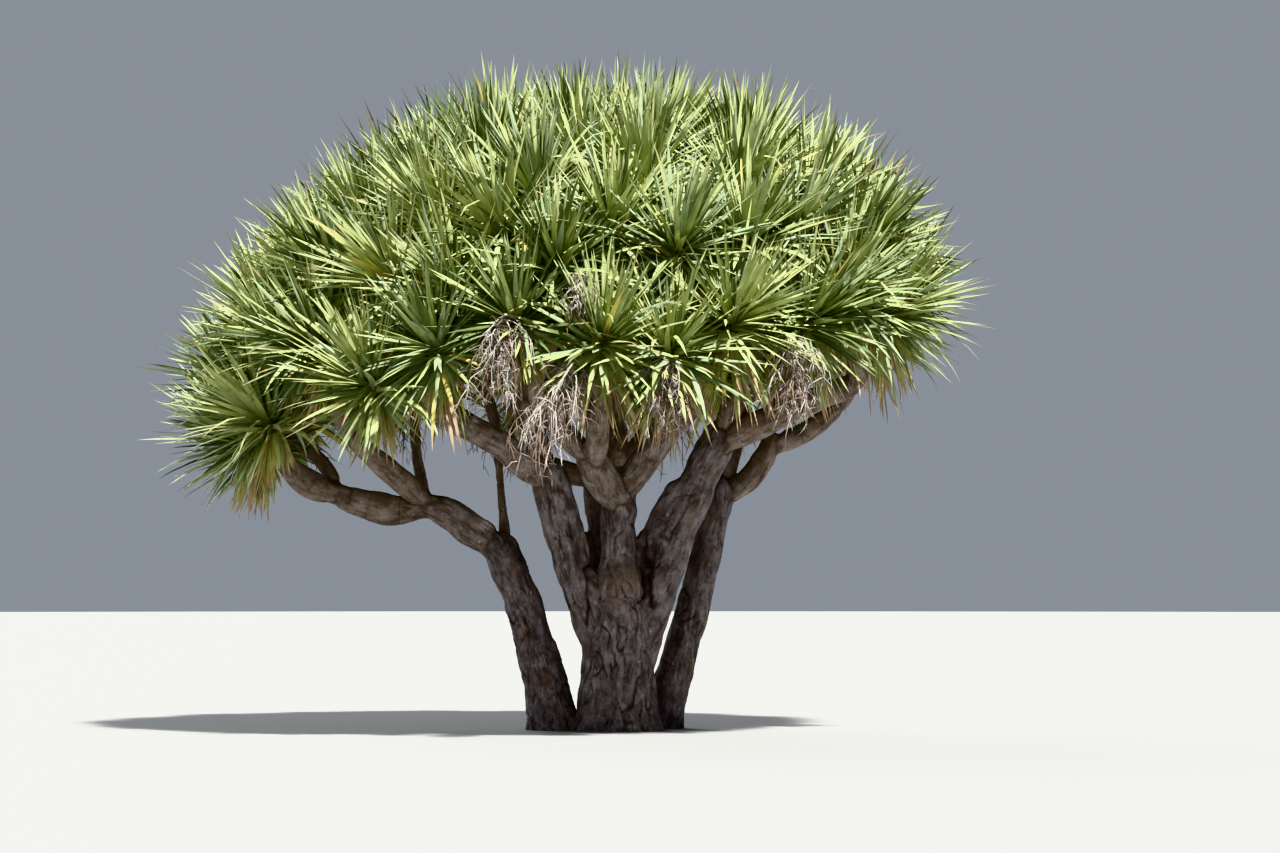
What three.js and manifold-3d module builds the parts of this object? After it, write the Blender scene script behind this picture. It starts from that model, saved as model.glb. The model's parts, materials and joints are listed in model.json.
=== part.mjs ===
// A dragon blood tree, Dracaena draco: three stems from one root, boughs that fork into
// sausage-like limbs, and a dome of sword-leaved rosettes in masses, one to each last bough.
// Millimetres, +Z up, origin at the middle of the trunk's flat cut at ground level.

import * as THREE from "three";
import { mergeVertices } from "three/addons/utils/BufferGeometryUtils.js";
import Module from "manifold-3d";

const wasm = await Module();
wasm.setup();

// Clearance between one piece and the next, and how far a cutting copy stands off its piece
const GAP = 0.35;
const SLIVER = 0.05;

// The crown: the dome that the hearts of the rosettes lie on
const DOME_CENTRE = new THREE.Vector3(-235, 30, 1716);
const DOME_HALF_WIDTH = 1700;
const DOME_HALF_DEPTH = 1580;
const DOME_HEIGHT = 1235;
const DOME_SLOPE = 0.1; // the windward left side is lower by this share of the way across
const RIM_DOWN = 84; // degrees from the top of the dome to its rim
const RIM_DIP_LEFT = 10; // degrees that the rim drops further at the far left

// Rosettes and their sword leaves
const ROSETTE_SPACING = 405;
const ROSETTE_TO_BORDER = 62;
const HEAD_RADIUS = 46;
const HEAD_LENGTH = 66;
const LEAF_LENGTH = 545;
const LEAF_HALF_WIDTH = 40;
const LEAF_THICKNESS = 9;
const LEAVES = 12;
const LEAF_OPENS_FROM = 10; // degrees off the rosette's axis, youngest leaf
const LEAF_OPENS_TO = 112; // degrees off the rosette's axis, oldest leaf
const LEAF_WIDEST_AT = 0.42; // share of its length from its root
const LEAF_DROOP = 15; // degrees that an old leaf's tip hangs below its root
const LEAF_APART = 26; // leaves of two rosettes lie no nearer than this
const GOLDEN_ANGLE = Math.PI * (3 - Math.sqrt(5));
const EVEN_STEPS = [0.7548776662, 0.569840291]; // steps of a sequence that fills a square evenly
const EVEN_TRIES = 1500;

// Twigs, from a mass's stem to its rosettes
const TWIG_RADIUS = 33;
const TWIG_TIP_RADIUS = 27;
const FORK_SHARE = 0.42; // how far along its stem a mass forks
const TWIG_SIDES = 3;

// Dry flower sprays that hang under the outer rosettes
const SPRAY_LENGTH = 430;
const SPRAY_BRANCHES = 6;
const SPRAY_RADIUS = 7;

// Leaves stay this far from the border of their mass's space, and from any limb's bark
const CLEAR = 12;
const FAR_FROM_LIMB = 450;
const LINES_TO_A_LIMB = 6;

const LIMB_SIDES = 8;
const TRUNK_SIDES = 12;
const LIMB_STEP = 170;
const FLARE_HEIGHT = 140; // a stem's root flare dies away over about this height

// Limbs, in the order they grow. A limb starts on its parent at a share of the parent's length,
// moved by shift, and ends at tip. bow is how far its middle stands off the straight line.
// thick holds its radius at the root and at the tip.
const LIMBS = [
  { name: "trunk", root: [0, 0, 0], tip: [5, 0, 615], thick: [170, 182], flare: 0.45, sides: TRUNK_SIDES },
  { name: "centre_bough", parent: "trunk", at: 0.69, tip: [10, -40, 1210], thick: [90, 90],
    swell: { at: 0.34, by: 0.55, over: 0.17 } },
  { name: "left_bough", parent: "trunk", at: 0.66, shift: [-42, -10, 0], tip: [-350, -150, 1320],
    bow: [-22, 0, 0], thick: [102, 95] },
  { name: "right_bough", parent: "trunk", at: 0.66, shift: [72, 10, 0], tip: [530, 30, 1510],
    bow: [-36, 0, 0], thick: [120, 94] },
  { name: "back_bough", parent: "trunk", at: 0.66, shift: [-30, 60, 0], tip: [-130, 430, 1360],
    bow: [12, 0, 0], thick: [78, 64] },
  { name: "left_stem", root: [-345, 60, 0], tip: [-612, 110, 945], bow: [42, 0, 14],
    thick: [112, 88], flare: 0.35 },
  { name: "right_stem", root: [205, 305, 0], tip: [535, 400, 1245], bow: [25, 0, 0],
    thick: [98, 74], flare: 0.35 },

  { name: "left_bough_outer", parent: "left_bough", at: 0.95, tip: [-945, -650, 1635],
    bow: [0, 0, 48], thick: [80, 60] },
  { name: "left_bough_upper", parent: "left_bough", at: 0.97, tip: [-485, -260, 1705], thick: [72, 56] },
  { name: "front_bough", parent: "centre_bough", at: 0.97, tip: [-125, -290, 1390],
    bow: [0, -20, -20], thick: [86, 82] },
  { name: "centre_bough_right", parent: "centre_bough", at: 0.99, tip: [375, -380, 1660],
    bow: [-8, 0, 12], thick: [78, 62] },
  { name: "centre_bough_top", parent: "centre_bough", at: 0.97, tip: [0, 60, 1590], thick: [62, 52] },
  { name: "front_bough_upper", parent: "front_bough", at: 0.95, tip: [-80, -640, 1645],
    bow: [0, -20, -20], thick: [64, 54] },
  { name: "front_bough_left", parent: "front_bough", at: 0.95, tip: [-365, -560, 1635], thick: [60, 52] },
  { name: "right_bough_outer", parent: "right_bough", at: 0.97, tip: [1200, -330, 1780],
    bow: [0, 0, 10], thick: [74, 62] },
  { name: "right_bough_upper", parent: "right_bough", at: 0.97, tip: [650, -60, 1755], thick: [70, 60] },

  { name: "back_bough_left", parent: "back_bough", at: 0.95, tip: [-880, 930, 1680],
    bow: [0, 20, -50], thick: [62, 52] },
  { name: "back_bough_middle", parent: "back_bough", at: 0.97, tip: [-120, 1010, 1690],
    bow: [0, 30, -50], thick: [62, 52] },
  { name: "back_bough_right", parent: "back_bough", at: 0.93, tip: [300, 880, 1800],
    bow: [20, 20, -50], thick: [56, 50] },

  { name: "right_stem_outer", parent: "right_stem", at: 0.96, tip: [815, 450, 1505],
    bow: [28, 0, -28], thick: [62, 58] },
  { name: "right_stem_rear", parent: "right_stem", at: 0.96, tip: [660, 590, 1630], thick: [56, 50] },
  { name: "right_stem_tip", parent: "right_stem_outer", at: 0.96, tip: [1150, 500, 1670],
    bow: [10, 0, -18], thick: [62, 46] },
  { name: "right_stem_upper", parent: "right_stem_outer", at: 0.95, tip: [830, 800, 1690],
    bow: [-20, 0, 0], thick: [48, 44] },

  { name: "left_stem_reach", parent: "left_stem", at: 0.96, tip: [-990, 40, 1170],
    bow: [-6, 0, 38], thick: [84, 66] },
  { name: "left_stem_upright", parent: "left_stem", at: 0.89, tip: [-633, 360, 1515],
    bow: [-6, 0, 0], thick: [29, 27] },
  { name: "left_stem_sweep", parent: "left_stem_reach", at: 0.97, tip: [-1455, -40, 1230],
    bow: [0, 0, -46], thick: [64, 62] },
  { name: "left_reach_rise", parent: "left_stem_reach", at: 0.93, tip: [-1355, -350, 1508],
    bow: [0, 0, -6], thick: [52, 48] },
  { name: "left_reach_upright", parent: "left_stem_reach", at: 0.97, tip: [-1065, 230, 1620],
    bow: [-20, 0, 0], thick: [32, 30] },
  { name: "left_sweep_tip", parent: "left_stem_sweep", at: 0.97, tip: [-1740, -160, 1425],
    bow: [-25, 0, -28], thick: [66, 50] },
  { name: "left_sweep_upper", parent: "left_stem_sweep", at: 0.97, tip: [-1655, 150, 1480],
    bow: [30, 0, 20], thick: [38, 34] },
];

// Masses of foliage, one to each last bough. around is the compass angle of a mass's leading
// rosette seen from above, 0 to the right and 270 to the front, and down is its angle from the
// top of the dome. spray marks the masses that carry dry flower sprays.
const MASSES = [
  { name: "foliage_far_left", bough: "left_sweep_tip", around: 187, down: 92 },
  { name: "foliage_left_rear", bough: "left_sweep_upper", around: 166, down: 77 },
  { name: "foliage_left_front", bough: "left_reach_rise", around: 220, down: 73 },
  { name: "foliage_left_top", bough: "left_reach_upright", around: 186, down: 48 },
  { name: "foliage_back_left_top", bough: "left_stem_upright", around: 138, down: 54 },
  { name: "foliage_front_left", bough: "left_bough_outer", around: 247, down: 77, spray: 40 },
  { name: "foliage_front_left_top", bough: "left_bough_upper", around: 238, down: 44 },
  { name: "foliage_front_middle", bough: "front_bough_left", around: 268, down: 60, spray: -50 },
  { name: "foliage_front", bough: "front_bough_upper", around: 276, down: 80, spray: 0 },
  { name: "foliage_front_right", bough: "centre_bough_right", around: 299, down: 78, spray: 20 },
  { name: "foliage_top", bough: "centre_bough_top", around: 270, down: 14 },
  { name: "foliage_right_front", bough: "right_bough_outer", around: 325, down: 76, spray: -30 },
  { name: "foliage_right_top", bough: "right_bough_upper", around: 318, down: 42 },
  { name: "foliage_right", bough: "right_stem_tip", around: 2, down: 76 },
  { name: "foliage_back_right", bough: "right_stem_upper", around: 38, down: 76 },
  { name: "foliage_right_rear_top", bough: "right_stem_rear", around: 18, down: 42 },
  { name: "foliage_back_right_top", bough: "back_bough_right", around: 72, down: 60 },
  { name: "foliage_back", bough: "back_bough_middle", around: 98, down: 80, spray: 0 },
  { name: "foliage_back_left", bough: "back_bough_left", around: 134, down: 80 },
];

const UP = new THREE.Vector3(0, 0, 1);
const vector = (p) => new THREE.Vector3(...p);
const radians = THREE.MathUtils.degToRad;
const lerp = THREE.MathUtils.lerp;

// A closed solid from a geometry, with vertices that share a place merged.
function solidOf(geometry) {
  geometry.deleteAttribute("normal");
  geometry.deleteAttribute("uv");
  const merged = mergeVertices(geometry, 1e-3);
  return new wasm.Manifold(new wasm.Mesh({
    numProp: 3,
    vertProperties: merged.attributes.position.array,
    triVerts: new Uint32Array(merged.index.array),
  }));
}

function geometryOf(solid) {
  const mesh = solid.getMesh();
  const geometry = new THREE.BufferGeometry();
  geometry.setAttribute("position", new THREE.BufferAttribute(mesh.vertProperties, 3));
  geometry.setIndex(new THREE.BufferAttribute(mesh.triVerts, 1));
  geometry.computeVertexNormals();
  return geometry;
}

// The largest closed body of a solid: loose scraps and sealed hollows are dropped, and the
// slivers that cutting leaves are merged away.
function mainBody(solid) {
  return solid.decompose().reduce((a, b) => (b.volume() > a.volume() ? b : a)).simplify(SLIVER);
}

// A quadratic curve whose middle stands off the straight line by bow.
function bowed(start, end, bow) {
  const control = start.clone().lerp(end, 0.5).addScaledVector(bow, 2);
  return new THREE.QuadraticBezierCurve3(start, control, end);
}

// A round bar bent along a curve: a unit cylinder whose rings follow the curve's own frames.
// skin makes it that much fatter, and longer at both ends.
function bar(curve, radiusAt, sides, segments, skin = 0) {
  const geometry = new THREE.CylinderGeometry(1, 1, 1, sides, segments);
  const { tangents, normals, binormals } = curve.computeFrenetFrames(segments, false);
  const position = geometry.attributes.position;
  const place = new THREE.Vector3();
  for (let i = 0; i < position.count; i++) {
    const ring = Math.round((position.getY(i) + 0.5) * segments);
    const share = ring / segments;
    const radius = radiusAt(share) + skin;
    const beyond = ring === 0 ? -skin : ring === segments ? skin : 0;
    place.copy(curve.getPointAt(share)).addScaledVector(tangents[ring], beyond);
    place.addScaledVector(binormals[ring], position.getX(i) * radius);
    place.addScaledVector(normals[ring], position.getZ(i) * radius);
    position.setXYZ(i, place.x, place.y, place.z);
  }
  return solidOf(geometry);
}

// A limb's radius as a function of the share of its length, with its root flare or swelling.
function radiusOf(limb, curve) {
  return (share) => {
    let radius = lerp(limb.thick[0], limb.thick[1], share);
    const height = Math.max(0, curve.getPointAt(share).z);
    if (limb.flare) radius *= 1 + limb.flare * Math.exp(-height / FLARE_HEIGHT);
    if (limb.swell) {
      radius *= 1 + limb.swell.by * Math.exp(-(((share - limb.swell.at) / limb.swell.over) ** 2));
    }
    return radius;
  };
}

// Where a limb starts: inside its parent, or for a stem below the ground, where it is cut flat.
function rootOf(limb, parent) {
  if (parent) return parent.curve.getPointAt(limb.at).add(vector(limb.shift ?? [0, 0, 0]));
  const foot = vector(limb.root);
  return foot.addScaledVector(vector(limb.tip).sub(foot).normalize(), -limb.thick[0]);
}

// Each limb is cut clear of all that grew before it.
function growLimbs() {
  const grown = new Map();
  for (const limb of LIMBS) {
    const tip = vector(limb.tip);
    const curve = bowed(rootOf(limb, grown.get(limb.parent)), tip, vector(limb.bow ?? [0, 0, 0]));
    const radiusAt = radiusOf(limb, curve);
    const sides = limb.sides ?? LIMB_SIDES;
    const segments = Math.max(3, Math.round(curve.getLength() / LIMB_STEP));
    const cutter = bar(curve, radiusAt, sides, segments, GAP);
    let solid = bar(curve, radiusAt, sides, segments);
    for (const other of grown.values()) solid = solid.subtract(other.cutter);
    solid = mainBody(solid.trimByPlane([0, 0, 1], 0));
    grown.set(limb.name, { limb, curve, radiusAt, cutter, solid, tip });
  }
  return grown;
}

// A limb as straight lines, for measuring how far a leaf is from it.
function linesOf({ limb, curve, tip, radiusAt }) {
  const points = curve.getSpacedPoints(LINES_TO_A_LIMB);
  return {
    name: limb.name,
    tip,
    way: curve.getTangentAt(1),
    tipRadius: radiusAt(1),
    widest: Math.max(radiusAt(0.3), radiusAt(0.6), radiusAt(1)),
    chord: new THREE.Line3(points[0], tip),
    lines: points.slice(1).map((point, i) => new THREE.Line3(points[i], point)),
  };
}

// The place of a rosette's heart on the dome, and the way its axis points. Angles in radians.
function onDome(around, down) {
  const out = new THREE.Vector3(Math.cos(around), Math.sin(around), 0);
  const heart = new THREE.Vector3(
    DOME_HALF_WIDTH * Math.sin(down) * out.x,
    DOME_HALF_DEPTH * Math.sin(down) * out.y,
    DOME_HEIGHT * Math.cos(down),
  );
  heart.z += DOME_SLOPE * heart.x;
  heart.add(DOME_CENTRE);
  const rise = 0.72 + 0.45 * Math.cos(down);
  const axis = out.multiplyScalar(Math.sin(down)).addScaledVector(UP, rise).normalize();
  return { heart, axis };
}

// The dome's lowest angle in one direction: its rim dips at the far left.
function rimDown(around) {
  return radians(RIM_DOWN + RIM_DIP_LEFT * Math.max(0, -Math.cos(around)) ** 6);
}

function distanceToLine(point, line) {
  return line.closestPointToPoint(point, true, new THREE.Vector3()).distanceTo(point);
}

// How much nearer a point is to its own mass's spine than to any other mass's.
function roomInSpace(point, mass, masses) {
  let nearest = Infinity;
  for (const other of masses) {
    if (other !== mass) nearest = Math.min(nearest, distanceToLine(point, other.spine));
  }
  return nearest - distanceToLine(point, mass.spine);
}

// How far a point is from a limb's bark. A point far from the limb's chord isn't measured.
function distanceToLimb(point, limb) {
  if (distanceToLine(point, limb.chord) > FAR_FROM_LIMB) return Infinity;
  return Math.min(...limb.lines.map((line) => distanceToLine(point, line))) - limb.widest;
}

// Rosettes spread evenly over the dome: first the leading one of each mass, then points of an
// even sequence that keep their distance from those already there.
function spreadRosettes(masses, spacing) {
  const rosettes = masses.map((mass) => ({ mass, ...onDome(radians(mass.around), radians(mass.down)) }));
  for (let i = 1; i < EVEN_TRIES; i++) {
    const around = 2 * Math.PI * ((i * EVEN_STEPS[0]) % 1);
    const share = (i * EVEN_STEPS[1]) % 1;
    const down = Math.acos(lerp(1, Math.cos(rimDown(around)), share));
    const candidate = onDome(around, down);
    if (rosettes.some((other) => other.heart.distanceTo(candidate.heart) < spacing)) continue;
    const mass = masses.find((m) => roomInSpace(candidate.heart, m, masses) > ROSETTE_TO_BORDER);
    if (mass) rosettes.push({ mass, ...candidate });
  }
  return rosettes;
}

// A way that leans off a rosette's axis by open, turned round the axis by turn.
function leafWay(axis, open, turn) {
  const side = new THREE.Vector3(-axis.y, axis.x, 0);
  if (side.lengthSq() < 1e-6) side.set(1, 0, 0);
  side.normalize().applyAxisAngle(axis, turn);
  return axis.clone().applyAxisAngle(side, open);
}

// A sword leaf's centre line: its root, its widest place and its tip, hanging a little.
function leafLine(rosette, open, turn, length) {
  const way = leafWay(rosette.axis, open, turn);
  const level = Math.hypot(way.x, way.y);
  const droop = radians(LEAF_DROOP) * level * (open / radians(LEAF_OPENS_TO));
  const hinge = new THREE.Vector3(way.y, -way.x, 0).normalize();
  const out = way.clone().applyAxisAngle(hinge, -droop * 0.4);
  const far = way.clone().applyAxisAngle(hinge, droop * 1.6);
  const root = rosette.heart.clone();
  const belly = root.clone().addScaledVector(out, length * LEAF_WIDEST_AT);
  const tip = belly.clone().addScaledVector(far, length * (1 - LEAF_WIDEST_AT));
  const face = rosette.axis.clone().addScaledVector(out, -rosette.axis.dot(out)).normalize();
  const across = new THREE.Vector3().crossVectors(face, out);
  return { root, belly, tip, across, face };
}

// The leaf itself: pointed at both ends, with three corners at its widest place, keeled below.
function leafSolid(line) {
  const geometry = new THREE.SphereGeometry(1, 3, 2);
  const position = geometry.attributes.position;
  const place = new THREE.Vector3();
  for (let i = 0; i < position.count; i++) {
    const along = Math.round(position.getY(i));
    place.copy([line.root, line.belly, line.tip][along + 1]);
    if (along === 0) {
      place.addScaledVector(line.face, position.getX(i) * LEAF_THICKNESS);
      place.addScaledVector(line.across, Math.sign(Math.round(position.getZ(i))) * LEAF_HALF_WIDTH);
    }
    position.setXYZ(i, place.x, place.y, place.z);
  }
  return solidOf(geometry);
}

// Points of a leaf that are tested against the borders of its mass's space and the limbs.
function leafProbes(line, length) {
  const past = line.root.clone().lerp(line.belly, (HEAD_RADIUS * 1.3) / (length * LEAF_WIDEST_AT));
  const wide = line.across.clone().multiplyScalar(LEAF_HALF_WIDTH);
  const later = line.belly.clone().lerp(line.tip, 0.5);
  return [
    past,
    line.belly.clone().add(wide),
    line.belly.clone().sub(wide),
    later.clone().addScaledVector(wide, 0.5),
    later.clone().addScaledVector(wide, -0.5),
    line.tip,
  ];
}

// Whether points with a radius lie in their mass's own space, clear of every limb.
function isClear(points, radius, mass, masses, limbs) {
  const clear = CLEAR + radius;
  return points.every((p) => p.z > clear
    && roomInSpace(p, mass, masses) > clear * 2
    && limbs.every((limb) => distanceToLimb(p, limb) > clear));
}

function crosses(line, others) {
  const halves = [new THREE.Line3(line.root, line.belly), new THREE.Line3(line.belly, line.tip)];
  return others.some((other) => halves.some((half) => half.distanceSqToLine3(other) < LEAF_APART ** 2));
}

// A rosette's leaves, opening from its axis by the golden angle. A leaf that would leave its
// mass's space, or cross a leaf of another rosette, is held more upright or made shorter, and
// is skipped if it still would. neighbours holds the lines of the mass's other leaves.
function leavesOf(rosette, neighbours, masses, limbs) {
  const made = [];
  const lines = [];
  for (let k = 0; k < LEAVES; k++) {
    const age = k / (LEAVES - 1);
    const open = radians(lerp(LEAF_OPENS_FROM, LEAF_OPENS_TO, age ** 0.8));
    const tries = [[1, 1], [0.8, 1], [0.6, 1], [1, 0.75], [0.7, 0.75]];
    for (const [lean, share] of tries) {
      const length = LEAF_LENGTH * share;
      const line = leafLine(rosette, open * lean, k * GOLDEN_ANGLE, length);
      if (crosses(line, neighbours)) continue;
      if (!isClear(leafProbes(line, length), 0, rosette.mass, masses, limbs)) continue;
      lines.push(new THREE.Line3(line.root, line.belly), new THREE.Line3(line.belly, line.tip));
      made.push(leafSolid(line));
      break;
    }
  }
  neighbours.push(...lines);
  return made;
}

// The knob that a rosette's leaves spring from.
function headSolid(rosette) {
  const geometry = new THREE.OctahedronGeometry(1, 0);
  geometry.scale(HEAD_RADIUS, HEAD_RADIUS, HEAD_LENGTH);
  geometry.applyQuaternion(new THREE.Quaternion().setFromUnitVectors(UP, rosette.axis));
  geometry.translate(...rosette.heart);
  return solidOf(geometry);
}

// A dry flower spray: a drooping stalk with thin branches, hung from a twig below its rosette.
function spraySolids(start, around, mass, masses, limbs) {
  const out = new THREE.Vector3(Math.cos(around), Math.sin(around), 0);
  const bend = start.clone().addScaledVector(out, SPRAY_LENGTH * 0.42);
  bend.z += SPRAY_LENGTH * 0.1;
  const end = start.clone().addScaledVector(out, SPRAY_LENGTH * 0.5);
  end.z -= SPRAY_LENGTH * 0.75;
  const stalk = new THREE.QuadraticBezierCurve3(start, bend, end);
  const pieces = [bar(stalk, (share) => SPRAY_RADIUS * (1.5 - share), 3, 4)];
  for (let k = 0; k < SPRAY_BRANCHES; k++) {
    const share = lerp(0.35, 0.9, k / (SPRAY_BRANCHES - 1));
    const turn = k * GOLDEN_ANGLE;
    const from = stalk.getPointAt(share);
    const reach = new THREE.Vector3(Math.cos(turn), Math.sin(turn), 0).multiplyScalar(SPRAY_LENGTH * 0.2);
    const to = from.clone().add(reach).addScaledVector(UP, -SPRAY_LENGTH * lerp(0.3, 0.45, share));
    if (!isClear([to, from.clone().lerp(to, 0.5)], SPRAY_RADIUS, mass, masses, limbs)) continue;
    const branch = bowed(from, to, reach.clone().multiplyScalar(0.35));
    pieces.push(bar(branch, (s) => SPRAY_RADIUS * lerp(0.9, 0.35, s), 3, 2));
  }
  return pieces;
}

// A mass: its stem carries on from the bough's tip, forks, and a twig runs to each rosette.
function massSolid(mass, rosettes, masses, limbs) {
  const own = rosettes.filter((rosette) => rosette.mass === mass);
  const aim = own.reduce((sum, r) => sum.add(r.heart), new THREE.Vector3()).divideScalar(own.length);
  const start = mass.limb.tip.clone().addScaledVector(mass.limb.way, GAP);
  const fork = start.clone().lerp(aim, FORK_SHARE);
  const turn = start.clone().addScaledVector(mass.limb.way, start.distanceTo(fork) * 0.45);
  const stem = new THREE.QuadraticBezierCurve3(start, turn, fork);
  const thick = mass.limb.tipRadius * 0.94;
  const twigAt = Math.min(TWIG_RADIUS, thick);
  const pieces = [bar(stem, (share) => lerp(thick, twigAt * 1.08, share), LIMB_SIDES, 3)];
  const leafLines = [];
  for (const rosette of own) {
    const pull = fork.distanceTo(rosette.heart) * 0.42;
    const knee = rosette.heart.clone().addScaledVector(rosette.axis, -pull);
    const back = fork.clone().addScaledVector(stem.getTangentAt(1), -twigAt * 0.8);
    const twig = new THREE.QuadraticBezierCurve3(back, knee, rosette.heart);
    if (!isClear(twig.getPoints(4).slice(1), TWIG_TIP_RADIUS, mass, masses, limbs)) continue;
    pieces.push(bar(twig, (share) => lerp(twigAt, TWIG_TIP_RADIUS, share), TWIG_SIDES, 3));
    pieces.push(headSolid(rosette), ...leavesOf(rosette, leafLines, masses, limbs));
    if (mass.spray !== undefined && rosette === own[0]) {
      const around = radians(mass.around + mass.spray);
      pieces.push(...spraySolids(twig.getPointAt(0.8), around, mass, masses, limbs));
    }
  }
  return mainBody(wasm.Manifold.union(pieces));
}

function meshOf(name, solid, material) {
  const mesh = new THREE.Mesh(geometryOf(solid), material);
  mesh.name = name;
  return mesh;
}

function finish(name, color, roughness) {
  return new THREE.MeshStandardMaterial({ name, color, roughness, metalness: 0 });
}

const bark = finish("bark", 0x7a6554, 0.92);
const foliage = finish("foliage", 0x8e9c4e, 0.6);

const grownLimbs = growLimbs();

const limbsAsLines = [...grownLimbs.values()].map(linesOf);

const masses = MASSES.map((entry) => {
  const limb = limbsAsLines.find((l) => l.name === entry.bough);
  const { heart } = onDome(radians(entry.around), radians(entry.down));
  return { ...entry, limb, spine: new THREE.Line3(limb.tip, heart) };
});

const rosettes = spreadRosettes(masses, ROSETTE_SPACING);

const tree = new THREE.Group();
tree.name = "dragon_blood_tree";
for (const [name, { solid }] of grownLimbs) tree.add(meshOf(name, solid, bark));
for (const mass of masses) {
  tree.add(meshOf(mass.name, massSolid(mass, rosettes, masses, limbsAsLines), foliage));
}

export default tree;
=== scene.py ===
"""Looks of the dragon blood tree: bark with relief, twigs, sword leaves and dry flower sprays.

The limbs and masses grow by the same rule as in the part's source, carried on to finer twigs
and to the real number of leaves. Lengths are in millimetres until a mesh is made.
"""
import itertools
import json
import math
from types import SimpleNamespace

import bmesh
import bpy
import numpy as np
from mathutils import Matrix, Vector
from mathutils.kdtree import KDTree

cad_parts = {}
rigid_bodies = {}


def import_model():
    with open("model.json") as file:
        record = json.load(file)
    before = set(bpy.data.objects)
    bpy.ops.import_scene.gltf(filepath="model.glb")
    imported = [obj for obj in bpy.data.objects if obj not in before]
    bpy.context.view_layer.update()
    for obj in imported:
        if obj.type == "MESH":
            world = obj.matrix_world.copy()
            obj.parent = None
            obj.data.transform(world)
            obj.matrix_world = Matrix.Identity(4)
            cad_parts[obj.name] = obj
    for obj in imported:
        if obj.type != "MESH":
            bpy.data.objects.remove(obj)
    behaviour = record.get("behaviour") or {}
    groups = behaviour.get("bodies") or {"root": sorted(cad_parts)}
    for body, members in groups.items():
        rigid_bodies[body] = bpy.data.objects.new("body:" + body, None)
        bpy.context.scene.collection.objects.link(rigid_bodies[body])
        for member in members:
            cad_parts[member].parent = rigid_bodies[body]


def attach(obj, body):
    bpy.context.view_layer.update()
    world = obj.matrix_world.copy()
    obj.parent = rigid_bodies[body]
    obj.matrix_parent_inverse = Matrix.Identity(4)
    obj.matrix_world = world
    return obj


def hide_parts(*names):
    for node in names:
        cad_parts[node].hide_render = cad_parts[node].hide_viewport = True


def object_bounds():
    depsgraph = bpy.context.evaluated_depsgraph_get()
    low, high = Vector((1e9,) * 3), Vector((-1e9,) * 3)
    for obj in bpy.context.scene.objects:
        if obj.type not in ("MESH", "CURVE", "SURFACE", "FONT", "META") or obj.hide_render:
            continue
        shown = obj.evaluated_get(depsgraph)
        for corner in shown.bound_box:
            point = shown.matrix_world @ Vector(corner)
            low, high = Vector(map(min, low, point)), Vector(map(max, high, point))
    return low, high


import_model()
cad_low, cad_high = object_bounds()

MM = 0.001
GROWTH = 0.022  # how far a leaf may pass the CAD box, as a share of the box's side
BOX_LOW = (np.array(cad_low) - GROWTH * (np.array(cad_high) - cad_low)) / MM
BOX_HIGH = (np.array(cad_high) + GROWTH * (np.array(cad_high) - cad_low)) / MM
UP = np.array((0.0, 0.0, 1.0))
SKEW = (0.31, 0.17, 0.93)  # a way that no limb runs along
SKEW_LEVEL = (0.3, 0.9, 0.1)  # a way that no rosette points
GOLDEN_ANGLE = math.pi * (3 - math.sqrt(5))
EVEN_STEPS = (0.7548776662, 0.569840291)
HASH = (73856093, 19349663, 83492791, 2654435761, 1274126177)
rng = np.random.RandomState(20)

# The crown's dome, as in the source
DOME_CENTRE = np.array((-235.0, 30.0, 1716.0))
DOME_HALF = np.array((1700.0, 1580.0, 1235.0))
DOME_SLOPE = 0.1
AXIS_RISE = 1.4  # how much more than the dome itself a rosette points up
BULGE = np.array((30, 0, 80))  # how far the dome's right side stands out and up
BULGE_FROM = 700  # where that starts, and the length over which it comes
RIM_DOWN = 84
RIM_DIP_LEFT = 10
RIM_DIP_NARROW = 6
RIM_FROM = 22  # degrees down the dome where its top starts to turn into its rim
RIM_OVER = 50

# Rosettes: the source's leading ones, then finer ones between them
LEADER_SPACING = 405
LEADER_TO_BORDER = 62
LEADER_TRIES = 1500
FINE_SPACING = (285, 345)
FINE_TRIES = 6000
FINE_DEPTH = (0.90, 1.05)
FINE_TWIG_AT = (0.3, 0.5)  # where along a leader's twig a finer twig leaves it
FORK_SHARE = 0.42
STEM_TURN = 0.45
STEM_SUNK = 20
TWIG_PULL = 0.42

# Twigs, with scars of fallen leaves at equal steps and lumps between them
TWIG_RADIUS = 31
TWIG_TIP_RADIUS = 27
FINE_TWIG = 0.85
TWIG_STEP = 16
TWIG_SCARS = 0.05
TWIG_LUMPS = (0.06, 61)

# A rosette's leaves, from the youngest in its middle to the oldest. Angles are in degrees. A pair
# holds the least and the most, or the values at the start and at the end
LEAF = SimpleNamespace(
    count=188, count_spread=(0.9, 1.12), axis_spread=0.17, turn_spread=0.12,
    open_from=3, open_to=(80, 104), open_to_spread=5, open_power=0.92, open_spread=0.19,
    open_least=0.02, open_most=125,
    length=545, length_spread=(0.66, 1.06), length_young=0.70, length_growth=2.4,
    shorter_down=0.3, shorter_inward=0.8, inward_below=0.4,
    width=32, width_spread=(0.85, 1.12), width_young=0.6, width_growth=1.5,
    root_ring=17, root_rise=(46, -70), clear_of_bark=8, clear_of_ground=60,
    sag=0.06, sag_growth=0.60, sag_power=2.5, sag_spread=(0.2, 1.8),
    broken_share=0.16, broken_sag=(0.4, 1.7), side_bend=0.16, twist=0.35, bend_power=1.4,
    rosette_size=(0.92, 1.04), top_size=1.08,
)

# Withered leaves that hang below a rosette: many below this many degrees down the dome, few above
DRY = SimpleNamespace(
    below=55, many=(34, 56), few=(0, 6), out=(0.25, 0.9), root=(60, 120),
    length=(0.5, 0.92), inside=0.65, left_of=-900, left=0.72,
    width=(0.45, 0.95), bend=0.3, sag=(0.2, 1.0), twist=1.2,
)

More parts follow.
